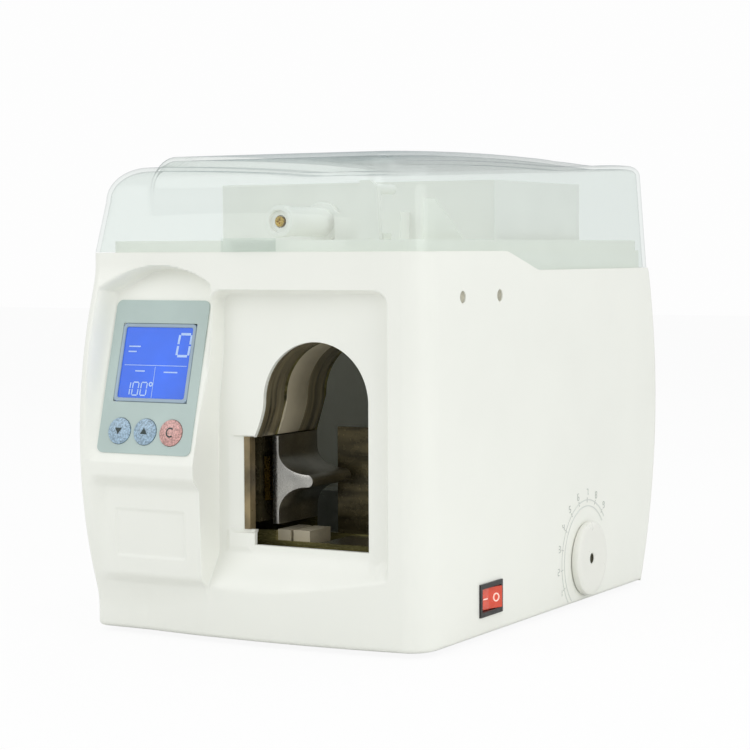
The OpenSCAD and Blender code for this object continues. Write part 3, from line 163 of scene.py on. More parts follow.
def patch(x, z, centre, half, blend):
    """1 inside a rectangle and 0 outside, blended across its edge."""
    edge = np.maximum(np.abs(x - centre[0]) - half[0], np.abs(z - centre[1]) - half[1])
    return smooth(0.5 - edge / blend)


def soft_min(a, b, k):
    """The lower of two heights, blended over a width k."""
    h = np.clip(0.5 + 0.5 * (b - a) / k, 0, 1)
    return b + (a - b) * h - k * h * (1 - h)


# ---------------------------------------------------------------- materials

# Nearly all of the noise lies between these two values
NOISE_LOW = 0.3
NOISE_HIGH = 0.7


def node_tree(name):
    mat = bpy.data.materials.new(name)
    mat.use_nodes = True
    tree = mat.node_tree
    tree.nodes.clear()
    out = tree.nodes.new("ShaderNodeOutputMaterial")
    return mat, tree, out


def linear(rgb):
    """A colour as seen on screen, 0 to 255, in Blender's linear values."""
    return [((c / 255 + 0.055) / 1.055) ** 2.4 if c > 10 else c / 255 / 12.92 for c in rgb]


def noise(tree, scale, detail=3.0, stretch=None):
    """Noise in object space, so that it stays put on the piece."""
    coord = tree.nodes.new("ShaderNodeTexCoord")
    tex = tree.nodes.new("ShaderNodeTexNoise")
    tex.inputs["Scale"].default_value = scale
    tex.inputs["Detail"].default_value = detail
    if stretch:
        mapping = tree.nodes.new("ShaderNodeMapping")
        mapping.inputs["Scale"].default_value = stretch
        tree.links.new(coord.outputs["Object"], mapping.inputs["Vector"])
        tree.links.new(mapping.outputs["Vector"], tex.inputs["Vector"])
    else:
        tree.links.new(coord.outputs["Object"], tex.inputs["Vector"])
    return tex.outputs["Fac"]


def spread(tree, value, low, high):
    """Maps noise onto a range."""
    node = tree.nodes.new("ShaderNodeMapRange")
    node.inputs["From Min"].default_value = NOISE_LOW
    node.inputs["From Max"].default_value = NOISE_HIGH
    node.inputs["To Min"].default_value = low
    node.inputs["To Max"].default_value = high
    tree.links.new(value, node.inputs["Value"])
    return node.outputs["Result"]


def bumped(tree, height, strength, distance):
    """The normal of a fine relief, its depth in metres."""
    relief = tree.nodes.new("ShaderNodeBump")
    relief.inputs["Strength"].default_value = strength
    relief.inputs["Distance"].default_value = distance
    tree.links.new(height, relief.inputs["Height"])
    return relief.outputs["Normal"]


def reckoned(tree, operation, value, *constants):
    """A value from a math node that takes a value and then constants."""
    node = tree.nodes.new("ShaderNodeMath")
    node.operation = operation
    tree.links.new(value, node.inputs[0])
    for k, constant in enumerate(constants, 1):
        node.inputs[k].default_value = constant
    return node.outputs["Value"]


def mixed(tree, share, first, second, out):
    """Mixes two shaders by a share from 0 to 1 and leads the result to the output."""
    mix = tree.nodes.new("ShaderNodeMixShader")
    tree.links.new(share, mix.inputs["Fac"])
    tree.links.new(first, mix.inputs[1])
    tree.links.new(second, mix.inputs[2])
    tree.links.new(mix.outputs["Shader"], out.inputs["Surface"])


def ramp(tree, value, colours):
    """Maps noise onto the way from one colour to the other."""
    node = tree.nodes.new("ShaderNodeValToRGB")
    marks = node.color_ramp.elements
    marks[0].position, marks[1].position = NOISE_LOW, NOISE_HIGH
    for mark, colour in zip(marks, colours):
        mark.color = (*linear(colour), 1)
    tree.links.new(value, node.inputs["Fac"])
    return node.outputs["Color"]


def surface(name, colour, rough=0.4, metal=0.0, shade=0.06, cloud=25.0, grain=900.0, bump=0.05,
            stretch=None, rough_spread=0.08, coat=0.0, glow=0.0, streak=None):
    """A principled surface with clouded colour, uneven gloss and a fine grain."""
    mat, tree, out = node_tree(name)
    bsdf = tree.nodes.new("ShaderNodeBsdfPrincipled")
    # Dark end of the colour clouding: random tone for most looks, painted reflection streaks for
    # steel_polished and frame_steel
    dark = [c * (1 - shade) for c in colour]
    colours = ramp(tree, noise(tree, cloud, 3.0, streak), (dark, colour))
    tree.links.new(colours, bsdf.inputs["Base Color"])
    patches = noise(tree, cloud * 6, 4.0, stretch)
    gloss = spread(tree, patches, rough - rough_spread, rough + rough_spread)
    tree.links.new(gloss, bsdf.inputs["Roughness"])
    normal = bumped(tree, noise(tree, grain, 2.0, stretch), bump, 0.0004)
    tree.links.new(normal, bsdf.inputs["Normal"])
    bsdf.inputs["Metallic"].default_value = metal
    bsdf.inputs["Coat Weight"].default_value = coat
    # Emission in the surface's own colour; on deck and white_plastic this glow is painted light
    if glow:
        tree.links.new(colours, bsdf.inputs["Emission Color"])
        bsdf.inputs["Emission Strength"].default_value = glow
    tree.links.new(bsdf.outputs["BSDF"], out.inputs["Surface"])
    return mat


def clear_plastic(name):
    """Clear sheet: light passes straight through, tinted and glossier where it is seen edge on."""
    mat, tree, out = node_tree(name)
    weight = tree.nodes.new("ShaderNodeLayerWeight")
    body = tree.nodes.new("ShaderNodeBsdfTransparent")
    # The darker teal tint edge on is partly real absorption along the longer path, partly painted shade for
    # the dark lines refraction draws along the edges
    tint = tree.nodes.new("ShaderNodeValToRGB")
    marks = tint.color_ramp.elements
    marks[0].position, marks[0].color = 0.95, (*linear((249, 251, 250)), 1)
    marks[1].position, marks[1].color = 1.0, (*linear((168, 186, 190)), 1)
    tree.links.new(weight.outputs["Facing"], tint.inputs["Fac"])
    tree.links.new(tint.outputs["Color"], body.inputs["Color"])
    gloss = tree.nodes.new("ShaderNodeBsdfGlossy")
    rough = spread(tree, noise(tree, 30.0), 0.02, 0.07)
    tree.links.new(rough, gloss.inputs["Roughness"])
    normal = bumped(tree, noise(tree, 14.0, 1.0), 0.08, 0.0006)
    tree.links.new(normal, gloss.inputs["Normal"])
    # Reflection: 2 percent face on, rising with the fifth power towards the edge
    edge_on = reckoned(tree, "POWER", weight.outputs["Facing"], 5.0)
    share = reckoned(tree, "MULTIPLY_ADD", edge_on, 0.5, 0.02)
    mixed(tree, share, body.outputs["BSDF"], gloss.outputs["BSDF"], out)
    return mat


LOOKS = {
    "body_shell": dict(colour=(243, 244, 236), rough=0.36, shade=0.015, bump=0.04, cloud=9),
    # glow 0.1 on deck is painted light: it brightens the deck where the clear lid shades it
    "deck": dict(colour=(236, 237, 230), shade=0.02, glow=0.1),
    "steel_pan": dict(colour=(188, 190, 192), metal=0.9, shade=0.12, cloud=60),
    "rubber_black": dict(colour=(38, 38, 38), rough=0.75, shade=0.2, bump=0.3),
    "screw_zinc": dict(colour=(206, 202, 182), metal=0.4, shade=0.2, cloud=300),
    "overlay": dict(colour=(183, 200, 195), rough=0.5, shade=0.04, grain=2500, bump=0.12),
    "lcd_bezel": dict(colour=(158, 178, 194), rough=0.45, shade=0.08),
    "lcd_glass": dict(colour=(20, 92, 218), rough=0.14, shade=0.2, cloud=18, bump=0.0, glow=0.4),
    "lcd_mark": dict(colour=(150, 176, 214), rough=0.3, shade=0.08, cloud=200, glow=0.45),
    "board_green": dict(colour=(30, 92, 52), shade=0.3, cloud=90),
    "button_blue": dict(colour=(176, 206, 228), rough=0.3, shade=0.36, cloud=900, grain=1800, bump=0.5,
                        coat=0.3),
    "button_red": dict(colour=(238, 182, 174), rough=0.3, shade=0.36, cloud=900, grain=1800, bump=0.5,
                       coat=0.3),
    "mark_dark": dict(colour=(22, 48, 44), shade=0.2),
    "mark_white": dict(colour=(250, 214, 200), shade=0.05, glow=0.3),
    "switch_black": dict(colour=(26, 24, 24), rough=0.38, shade=0.25, bump=0.15),
    "rocker_red": dict(colour=(222, 66, 30), rough=0.2, shade=0.12, cloud=60, coat=0.5, glow=0.15),
    # Its deep streaked banding stands in for reflections on polished steel: painted reflection, on top of
    # the real metallic gloss
    "steel_polished": dict(colour=(196, 182, 146), rough=0.16, metal=0.5, shade=0.6, cloud=12,
                           rough_spread=0.05, stretch=(2, 40, 2), streak=(1, 22, 1), bump=0.12),
    "steel_brushed": dict(colour=(186, 184, 178), rough=0.3, metal=1.0, shade=0.15, cloud=60, grain=220,
                          stretch=(4, 40, 4), bump=0.2),
    "cream": dict(colour=(214, 204, 178), rough=0.5, shade=0.08, cloud=50),
    "brass": dict(colour=(212, 178, 96), rough=0.28, metal=1.0, shade=0.2, cloud=200),
    # Its deep horizontal streaks stand in for the streaked reflections of a polished curved surface:
    # painted reflection
    "frame_steel": dict(colour=(166, 158, 100), rough=0.22, metal=0.45, shade=0.62, cloud=14,
                        rough_spread=0.1, stretch=(3, 3, 30), streak=(1.2, 1.2, 9), bump=0.15),
    "gear_nylon": dict(colour=(226, 218, 196), rough=0.5, shade=0.05),
    "motor_can": dict(colour=(66, 68, 72), rough=0.35, metal=0.9, shade=0.2, cloud=80),
    "roller_rubber": dict(colour=(44, 44, 46), rough=0.7, shade=0.2, bump=0.3),
    # glow 0.1 on white_plastic is painted light: it brightens the white parts that the clear lid shades
    "white_plastic": dict(colour=(235, 235, 231), rough=0.45, shade=0.02, glow=0.1),
    "teal_plate": dict(colour=(34, 62, 60), rough=0.3, metal=0.4, shade=0.45, cloud=40, streak=(1, 1, 5)),
    "stop_metal": dict(colour=(120, 110, 80), rough=0.25, metal=0.5, shade=0.4, cloud=40, streak=(1, 1, 6)),
    "dial_white": dict(colour=(240, 240, 232), rough=0.34, shade=0.02, cloud=12),
    "mark_grey": dict(colour=(190, 195, 189), shade=0.1),
    "mark_pale": dict(colour=(224, 227, 221)),
    "pit_metal": dict(colour=(72, 68, 40), rough=0.5, metal=0.6, shade=0.4, cloud=300),
    "dark_steel": dict(colour=(158, 140, 104), rough=0.35, metal=0.35, shade=0.4, cloud=60),
    "supply_box": dict(colour=(196, 198, 200), rough=0.35, metal=0.95, shade=0.1, cloud=60),
}
MATERIALS = {name: surface(name, **look) for name, look in LOOKS.items()}
MATERIALS["clear"] = clear_plastic("clear")

# Nodes that look unlike the other nodes of their slot
NODE_LOOKS = {"notch_guard": "dark_steel"}


def dress_cad_nodes():
    """Gives every CAD node the material of its record slot, or its own look."""
    for part in frame["record"]["subparts"]:
        piece = frame["nodes"][part["node"]]
        material = MATERIALS[NODE_LOOKS.get(part["node"], part["material_slot"])]
        if not piece.data.materials:
            piece.data.materials.append(material)
        for slot in piece.material_slots:
            slot.material = material


# ---------------------------------------------------------------- mesh tools

def in_scene(name, data):
    """A new object of the scene that shows this data."""
    item = bpy.data.objects.new(name, data)
    bpy.context.scene.collection.objects.link(item)
    return item


def add_piece(name, points, faces, body, slot, replaced=(), material=None, sharp=35.0):
    """A mesh object from points in millimetres in the machine's frame."""
    points = np.asarray(points, float)
    used = np.unique(np.concatenate([np.asarray(f).ravel() for f in faces]))
    index = np.zeros(len(points), int)
    index[used] = np.arange(len(used))
    mesh = bpy.data.meshes.new(name)
    verts = (points[used] + SHIFT) * M
    loops, sizes = [], []
    for group in faces:
        group = np.asarray(group)
        loops.append(index[group].ravel())
        sizes.append(np.full(len(group), group.shape[1]))
    loops, sizes = np.concatenate(loops), np.concatenate(sizes)
    mesh.vertices.add(len(verts))
    mesh.vertices.foreach_set("co", verts.ravel())
    mesh.loops.add(len(loops))
    mesh.loops.foreach_set("vertex_index", loops)
    mesh.polygons.add(len(sizes))
    mesh.polygons.foreach_set("loop_start", np.concatenate([[0], np.cumsum(sizes)[:-1]]))
    mesh.update(calc_edges=True)
    mesh.validate()
    mesh.shade_smooth()
    mesh.set_sharp_from_angle(angle=math.radians(sharp))
    mesh.materials.append(material or MATERIALS[slot])
    piece = in_scene(name, mesh)
    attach(piece, body)
    if replaced:
        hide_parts(*replaced)


def grid_faces(rows, cols, wrap=False):
    """Quads of a rows by cols grid of points, as an array of four indices each."""
    index = np.arange(rows * cols).reshape(rows, cols)
    right = np.roll(index, -1, axis=1) if wrap else index[:, 1:]
    left = index if wrap else index[:, :-1]
    return np.stack([left[:-1], right[:-1], right[1:], left[1:]], axis=-1).reshape(-1, 4)


def shell_faces(quads, tris, count):
    """Closes an outer sheet onto an inner one whose points follow count places later."""
    edges = [np.stack([f, np.roll(f, -1, axis=1)], axis=-1).reshape(-1, 2) for f in (quads, tris) if len(f)]
    edges = np.concatenate(edges)
    key = np.sort(edges, axis=1)
    _, first, counts = np.unique(key[:, 0] * count + key[:, 1], return_index=True, return_counts=True)
    rim = edges[first[counts == 1]]
    walls = np.stack([rim[:, 1], rim[:, 0], rim[:, 0] + count, rim[:, 1] + count], axis=-1)
    faces = [quads, quads[:, ::-1] + count, walls]
    if len(tris):
        faces += [tris, tris[:, ::-1] + count]
    return faces


def lathe(profile, centre, axis, sides=72):
    """Points and faces of a turned form: profile is (radius, distance along the axis)."""
    profile = np.asarray(profile, float)
    angle = np.arange(sides) / sides * 2 * math.pi
    ring = np.stack([np.cos(angle), np.sin(angle)], axis=-1)
    a, b = {"x": ((0, 1, 0), (0, 0, 1)), "y": ((1, 0, 0), (0, 0, 1))}[axis]
    along = {"x": (1, 0, 0), "y": (0, 1, 0)}[axis]
    points = [np.asarray(centre) + r * (ring[:, :1] * a + ring[:, 1:] * b) + d * np.asarray(along, float)
              for r, d in profile]
    points = np.concatenate(points)
    return points, [grid_faces(len(profile), sides, wrap=True)]


def ribbon(lines, width, height, place):
    """Flat raised strokes along 2D lines, each point placed by place(u, v, w)."""
    points, faces = [], []
    for line in lines:
        line = np.asarray(line, float)
        closed = np.allclose(line[0], line[-1]) and len(line) > 2
        core = line[:-1] if closed else line
        ahead = np.roll(core, -1, axis=0) - core
        if not closed:
            ahead[-1] = core[-1] - core[-2]
        behind = np.roll(ahead, 1, axis=0)
        if not closed:
            behind[0] = ahead[0]
        ahead /= np.linalg.norm(ahead, axis=1)[:, None]
        unit = ahead + behind / np.linalg.norm(behind, axis=1)[:, None]
        unit /= np.maximum(np.linalg.norm(unit, axis=1), 1e-6)[:, None]
        side = np.stack([-unit[:, 1], unit[:, 0]], axis=-1)
        cosine = np.abs((unit * ahead).sum(1))
        half = (width / 2 / np.maximum(cosine, 0.4))[:, None]
        base = sum(len(p) for p in points)
        n = len(core)
        for s, w in ((-1, 0), (-1, height), (1, height), (1, 0)):
            uv = core + s * half * side
            points.append(np.array([place(u, v, w) for u, v in uv]))
        index = base + np.arange(4 * n).reshape(4, n)
        ends = n if closed else n - 1
        for k in range(4):
            a, b = index[k], index[(k + 1) % 4]
            quad = np.stack([a, np.roll(a, -1), np.roll(b, -1), b], axis=-1)[:ends]
            faces.append(quad)
        if not closed:
            faces.append(index[::-1, :1].T)
            faces.append(index[:, -1:].T)
    return np.concatenate(points), [np.concatenate(faces)]


def plates(shapes, height, place):
    """Flat raised marks of convex outlines, each point placed by place(u, v, w)."""
    points, faces = [], []
    for shape in shapes:
        n, base = len(shape), sum(len(p) for p in points)
        points.append(np.array([place(u, v, w) for w in (0, height) for u, v in shape]))
        low = base + np.arange(n)
        faces.append(np.stack([low, np.roll(low, -1), np.roll(low, -1) + n, low + n], axis=-1))
        faces.append((low + n)[None])
        faces.append(low[None, ::-1])
    return np.concatenate(points), faces


# ---------------------------------------------------------------- outlines

def arc(cx, cy, r, a0, a1, n):
    angle = np.radians(np.linspace(a0, a1, n))
    return np.stack([cx + r * np.cos(angle), cy + r * np.sin(angle)], axis=-1)


def arch_left(z):
    """Left edge of the opening between the foot and the arch: a smooth flare."""
    t = (ARCH_Z - z) / (ARCH_Z - ARCH_FOOT)
    return ARCH_X - ARCH_R - ARCH_FLARE * np.power(t, 1.6)


def arch_path():
    """From the left foot, up the flare, over the arch and down the right side."""
    z = np.linspace(ARCH_FOOT, ARCH_Z, 16)[:-1]
    flare = np.stack([arch_left(z), z], axis=-1)
    top = arc(ARCH_X, ARCH_Z, ARCH_R, 180, 0, 64)
    z = np.linspace(ARCH_Z, ARCH_BOTTOM, 24)[1:]
    right = np.stack([np.full(len(z), ARCH_X + ARCH_R), z], axis=-1)
    return np.concatenate([flare, top, right])


def opening_outline():
    notch = [(FOOT_X, ARCH_BOTTOM), (FOOT_X, NOTCH_BOTTOM), (FOOT_X - NOTCH_W, NOTCH_BOTTOM),
             (FOOT_X - NOTCH_W, ARCH_FOOT)]
    return np.concatenate([arch_path(), notch])


def circle_outline(cx, cy, r, n=48):
    return arc(cx, cy, r, 0, 360 * (n - 1) / n, n)


def closed_circle(cx, cy, r, n):
    ring = circle_outline(cx, cy, r, n)
    return np.concatenate([ring, ring[:1]])


def rect_outline(cx, cy, w, h):
    return np.array([(cx - w / 2, cy - h / 2), (cx + w / 2, cy - h / 2), (cx + w / 2, cy + h / 2),
                     (cx - w / 2, cy + h / 2)])


def panel_point(u, v, w):
    """A point on the console panel: u across, v up the slope, w outwards."""
    s, c = math.sin(TILT), math.cos(TILT)
    return PANEL + np.array([u, v * s - w * c, v * c + w * s])


def panel_outline(shape):
    return np.array([panel_point(u, v, -OVERLAY_T)[[0, 2]] for u, v in shape])


def cut(px, pz, outlines):
    """Moves grid points beside each outline onto it. Returns the points and -1 inside, 0 on, 1 outside."""
    margin, far = 4.0, 1e3
    px, pz = px.copy(), pz.copy()
    state = np.ones(px.shape, int)
    for outline in outlines:
        lo, hi = outline.min(0) - margin, outline.max(0) + margin
        near = np.where((px > lo[0]) & (px < hi[0]) & (pz > lo[1]) & (pz < hi[1]) & (state == 1))
        p = np.stack([px[near], pz[near]], axis=-1)
        a, b = outline, np.roll(outline, -1, axis=0)
        ab = b - a
        t = np.clip(((p[:, None] - a) * ab).sum(-1) / (ab * ab).sum(-1), 0, 1)
        foot = a + t[..., None] * ab
        gap = np.linalg.norm(p[:, None] - foot, axis=-1)
        best = gap.argmin(1)
        row = np.arange(len(p))
        crossing = (a[:, 1] > p[:, None, 1]) != (b[:, 1] > p[:, None, 1])
        with np.errstate(divide="ignore", invalid="ignore"):
            at = a[:, 0] + (p[:, None, 1] - a[:, 1]) / ab[:, 1] * ab[:, 0]
        inside = (crossing & (p[:, None, 0] < at)).sum(1) % 2 == 1
        signed = np.full(px.shape, far)
        signed[near] = np.where(inside, -gap[row, best], gap[row, best])
        fx, fz = px.copy(), pz.copy()
        fx[near], fz[near] = foot[row, best].T
        snap = np.abs(signed) < 1e-6
        for axis in (0, 1):
            s0 = signed[:-1] if axis == 0 else signed[:, :-1]
            s1 = signed[1:] if axis == 0 else signed[:, 1:]
            cross = s0 * s1 < 0
            first = cross & (np.abs(s0) <= np.abs(s1))
            second = cross & ~first
            if axis == 0:
                snap[:-1] |= first
                snap[1:] |= second
            else:
                snap[:, :-1] |= first
                snap[:, 1:] |= second
        px[snap], pz[snap] = fx[snap], fz[snap]
        state[(signed < 0) & ~snap] = -1
        state[snap] = 0
    return px, pz, state


def kept_faces(state):
    """Quads and triangles of the grid that lie outside the outlines."""
    rows, cols = state.shape
    quads = grid_faces(rows, cols)
    s = state.ravel()[quads]
    keep = quads[(s >= 0).all(1) & (s > 0).any(1)]
    mixed = quads[((s < 0).sum(1) == 1) & (s > 0).any(1)]
    ms = state.ravel()[mixed]
    tris = np.array([q[np.arange(4) != k] for q, k in zip(mixed, (ms < 0).argmax(1))]).reshape(-1, 3)
    return keep, tris


# ---------------------------------------------------------------- housing

def bow(x):
    return BOW_Y - np.sqrt(BOW_R ** 2 - x ** 2)


def barrel(z):
    return CON_Y - np.sqrt(CON_R ** 2 - (z - CON_Z) ** 2)


def console_front(x, z):
    """Front of the console: barrel, stepped lower column and recessed sloping panel."""
    ledge_blend, toe_blend, left_blend, label_blend = 9.0, 8.0, 12.0, 1.2
    y = barrel(z)
    column = COLUMN_Y + (LEDGE_Z - z) * COLUMN_SLOPE
    below = smooth((LEDGE_TOP - z) / ledge_blend) * smooth((z - TOE_Z) / toe_blend)
    below = below * smooth((x + LEFT_X) / left_blend)
    y = y + (column - y) * below
    y = y + LABEL_DEPTH * patch(x, z, (PANEL[0], LABEL_Z), LABEL_HALF, label_blend) * below
    y = soft_min(y, bow(np.maximum(x, STRAIGHT_X)), CREASE)
    floor = PANEL[1] + (z - PANEL[2]) * math.tan(TILT) + OVERLAY_T / math.cos(TILT)
    dx = x - SCOOP_X
    arch = SCOOP_SIDE_TOP + SCOOP_RISE - SCOOP_R + np.sqrt(np.maximum(SCOOP_R ** 2 - dx ** 2, 0))
    edge = np.maximum(-dx - SCOOP_HALF - SCOOP_LEFT_MORE, z - arch)
    soft_from, soft_over = 8.0, 26.0
    width = SCOOP_EDGE + (SCOOP_LEFT_EDGE - SCOOP_EDGE) * smooth((-dx - soft_from) / soft_over)
    return y + np.maximum(floor - y, 0) * smooth(-edge / width)


def lean(z):
    """How far the ridge between console and bay has leant over at a height, 0 to 1."""
    return smooth((z - LEAN_Z) / LEAN_H)


def bay_front(x, z):
    """Front beside the console: bowed face with the recessed bay and its sloping sill."""
    rim_blend, pad_blend, pocket_blend = 0.6, 3.5, 5.0
    face = bow(x)
    floor = BAY_Y - SILL_OUT * smooth((SILL_TOP - z) / (SILL_TOP - SILL_BOTTOM))
    qx = np.maximum(BAY_X0 + BAY_LEAN * lean(z) - x, x - BAY_X1) + BAY_R
    qz = np.abs(z - BAY_TOP / 2) - BAY_TOP / 2 + BAY_R
    edge = np.hypot(np.maximum(qx, 0), np.maximum(qz, 0)) + np.minimum(np.maximum(qx, qz), 0) - BAY_R
    sunk = face + np.maximum(floor - face, 0) * smooth(-edge / BAY_EDGE)
    y = -soft_min(-face, -sunk, rim_blend)
    in_notch = (x < FOOT_X) * (z > NOTCH_BOTTOM - 1) * (z < ARCH_FOOT + 0.4)
    y = y + RAMP_DEPTH * smooth((x - RAMP_X) / RAMP_W) * in_notch
    y = y - PAD_RISE * patch(x, z, PAD, PAD_HALF, pad_blend) * (z < NOTCH_BOTTOM)
    return y + POCKET_DEPTH * patch(x, z, POCKET, POCKET_HALF, pocket_blend)


def front_surface(x, z):
    """The whole front: console at the left of the ridge, bay at the right."""
    side = smooth((x - RIDGE_X) / (RIDGE_W + RIDGE_GROW * lean(z)))
    return console_front(x, z) * (1 - side) + bay_front(x, z) * side


def top_edge(y):
    """Height of the shell's top edge along its side."""
    return BODY_H - STEP_H * np.clip((y - STEP_FRONT) / (STEP_REAR - STEP_FRONT), 0, 1)


def spaced(*stops):
    """Numbers through the stops: (start, pitch), (next start, pitch), ..., (end,)."""
    out = []
    for (a, pitch), b in zip(stops[:-1], stops[1:]):
        n = max(1, round((b[0] - a) / pitch))
        out += [a + (b[0] - a) * i / n for i in range(n)]
    return np.array(out + [stops[-1][0]])


def housing():
    """The moulded shell as an outer and an inner sheet, with its openings cut out."""
    # Rows and columns of the grid lie closer together beside openings and edges
    z_rows = spaced((0, 0.5), (3, 1.0), (ARCH_BOTTOM, 0.97), (NOTCH_BOTTOM, 0.98), (ARCH_FOOT, 0.95),
                    (BODY_H,))
    left_y = np.concatenate([spaced((SEAM_Y, 5.0), (-66,)), spaced((-66, 1.1), (-81,))[1:],
                             spaced((-81, 4.0), (-115,))[1:], spaced((-115, 1.1), (-131,))[1:],
                             spaced((-131, 3.0), (LEFT_END,))[1:]])
    left_t = (SEAM_Y - left_y) / (SEAM_Y - LEFT_END)
    corner_t = np.linspace(0, 1, 26)[:-1]
    x_cols = spaced((-LEFT_X, 0.9), (-31, 0.4), (-23, 0.85), (FOOT_X - NOTCH_W, 0.86), (FOOT_X, 0.9),
                    (ARCH_X + ARCH_R, 0.8), (87, 0.5), (95, 0.9), (CORNER_X,))
    right_y = np.concatenate([spaced((-152, 2.5), (-131,)), spaced((-131, 1.0), (-115,))[1:],
                              spaced((-115, 1.3), (-81,))[1:], spaced((-81, 1.0), (-66,))[1:],
                              spaced((-66, 4.0), (48,))[1:], spaced((48, 1.2), (64,))[1:],
                              spaced((64, 5.0), (SEAM_Y,))[1:]])
    rows = len(z_rows)
    n_left, n_corner, n_front, n_right = len(left_t), len(corner_t), len(x_cols), len(right_y)
    cols = n_left + 2 * n_corner + n_front + n_right
    z = np.repeat(z_rows[:, None], cols, axis=1)
    # Front: cut in the plane of X and Z
    first = n_left + n_corner
    fx, fz = np.repeat(x_cols[None], rows, axis=0), z[:, first:first + n_front]
    holes = [opening_outline(), panel_outline(rect_outline(0, DISPLAY_V, *DISPLAY_HOLE))]
    holes += [panel_outline(circle_outline(u, KEYS_V, KEY_HOLE_R)) for u in KEYS_U]
    fx, fz, front_state = cut(fx, fz, holes)
    fy = front_surface(fx, fz)
    # Right side: cut in the plane of Y and Z
    ry, rz = np.repeat(right_y[None], rows, axis=0), z[:, -n_right:]
    rz = rz * top_edge(ry) / BODY_H
    screws = [circle_outline(y, zc, SCREW_RECESS_R, 24) for y, zc in SIDE_SCREWS]
    switch_and_dial = [rect_outline(*SWITCH, *SWITCH_HOLE), circle_outline(*DIAL, SHAFT_HOLE_R, 24)]
    ry, rz, right_state = cut(ry, rz, screws + switch_and_dial)
    # Left side
    y_corner = front_surface(np.full(rows, -LEFT_X), z_rows) + LEFT_R
    ly = SEAM_Y - left_t[None] * (SEAM_Y - y_corner[:, None])
    lz = z[:, :n_left] * top_edge(ly) / BODY_H
    ly, lz, left_state = cut(ly, lz, screws)
    # Corners
    swing = math.pi + math.pi / 2 * corner_t
    cx = -LEFT_X + LEFT_R * np.cos(swing)[None] + 0 * z_rows[:, None]
    cy = y_corner[:, None] + LEFT_R * np.sin(swing)[None]
    turn = -math.pi / 2 + TANGENT + (math.pi / 2 - TANGENT) * corner_t
    rcx = CORNER_X + CORNER_R * np.cos(turn)[None] + 0 * z_rows[:, None]
    rcy = CORNER_Y + CORNER_R * np.sin(turn)[None] + 0 * z_rows[:, None]
    zero = np.zeros((rows, n_corner))
    left_x, right_x = np.full((rows, n_left), -HALF_W), np.full((rows, n_right), HALF_W)
    x = np.concatenate([left_x, cx, fx, rcx, right_x], axis=1)
    y = np.concatenate([ly, cy, fy, rcy, ry], axis=1)
    z = np.concatenate([lz, z[:, :n_corner], fz, z[:, :n_corner], rz], axis=1)
    nx = np.concatenate([np.full(n_left, -1), np.cos(swing), np.zeros(n_front),
                         np.cos(turn), np.full(n_right, 1)])
    ny = np.concatenate([np.zeros(n_left), np.sin(swing), np.full(n_front, -1),
                         np.sin(turn), np.zeros(n_right)])
    state = np.concatenate([left_state, zero + 1, front_state, zero + 1, right_state], axis=1)
    edge_r = 3.0
    low = np.clip(edge_r - z, 0, edge_r)
    inset = edge_r - np.sqrt(edge_r ** 2 - low ** 2)
    outer = np.stack([x - nx * inset, y - ny * inset, z], axis=-1).reshape(-1, 3)
    inner = np.stack([x - nx * WALL, y - ny * WALL, z], axis=-1).reshape(-1, 3)
    quads, tris = kept_faces(state)
    faces = shell_faces(quads, tris, len(outer))
    add_piece("moulded_shell", np.concatenate([outer, inner]), faces, "body", "body_shell",
              ["housing_shell"], sharp=42)


# ---------------------------------------------------------------- lid

LID_T = 2.5
LID_GAP = 0.3
LID_TOP = 286.5
LID_CROWN = 3.0
# Lean of the walls and reach of the shoulders at the sides, the front and the rear
LID_LEAN = (3.0, 5.0, 5.0)
LID_ROUND = (13.0, 20.0, 8.0)
REAR_R = 12.0
# The front corners grow rounder up the walls and over the shoulders
CORNER_GROW = (4.0, 10.0)
# Towards the rear the shoulders grow sharper and the roof wider
SHARP_FROM = 20.0
SHARP_OVER = 130.0
SHARP_CUT = 13.0
REAR_WIDEN = 8.0
# Raised centre
HUMP = 6.0
HUMP_X = 6.0
HUMP_HALF = 78.0
HUMP_EDGE = 8.0
HUMP_FADE = 120.0
HUMP_FROM_Z = 252.0
HUMP_OVER = 26.0
SPINE_Y = (-60.0, 70.0)


def stretches(*stops):
    """Numbers through the stops, each with its count of steps to the next, without the last stop."""
    return np.concatenate([np.linspace(a[0], b[0], a[1] + 1)[:-1] for a, b in zip(stops[:-1], stops[1:])])


def lid_ring(side, front, rear, grow):
    """Closed plan outline of the lid, moved in by side, front and rear, its corners grown rounder."""
    x1 = HALF_W - side
    y1 = REAR_Y - rear
    r_back, r_left, r_right = REAR_R, LEFT_R + grow, CORNER_R + 0.5 * grow
    left_front = bow(STRAIGHT_X) + front + r_left
    slope = math.asin((x1 - r_right) / BOW_R)
    start = x1 - r_right + r_right * math.sin(slope)
    right_front = bow(start) + front + r_right * math.cos(slope)
    left_y = stretches((y1 - r_back, 25), (STEP_REAR, 9), (STEP_FRONT, 17), (left_front,))
    right_y = stretches((right_front, 17), (STEP_FRONT, 9), (STEP_REAR, 25), (y1 - r_back,))
    share = stretches((0, 25), (0.2, 39), (0.82, 23), (1,))
    front_x = (-x1 + r_left) * (1 - share) + start * share
    return np.concatenate([
        arc(-x1 + r_back, y1 - r_back, r_back, 90, 180, 12)[:-1],
        np.stack([np.full(len(left_y), -x1), left_y], axis=-1),
        arc(-x1 + r_left, left_front, r_left, 180, 270, 14)[:-1],
        np.stack([front_x, bow(np.maximum(front_x, STRAIGHT_X)) + front], axis=-1),
        arc(x1 - r_right, right_front, r_right, 270 + math.degrees(slope), 360, 14)[:-1],
        np.stack([np.full(len(right_y), x1), right_y], axis=-1),
        arc(x1 - r_back, y1 - r_back, r_back, 0, 90, 12)[:-1],
        np.stack([np.linspace(x1 - r_back, -x1 + r_back, 40)[:-1], np.full(39, y1)], axis=-1)])


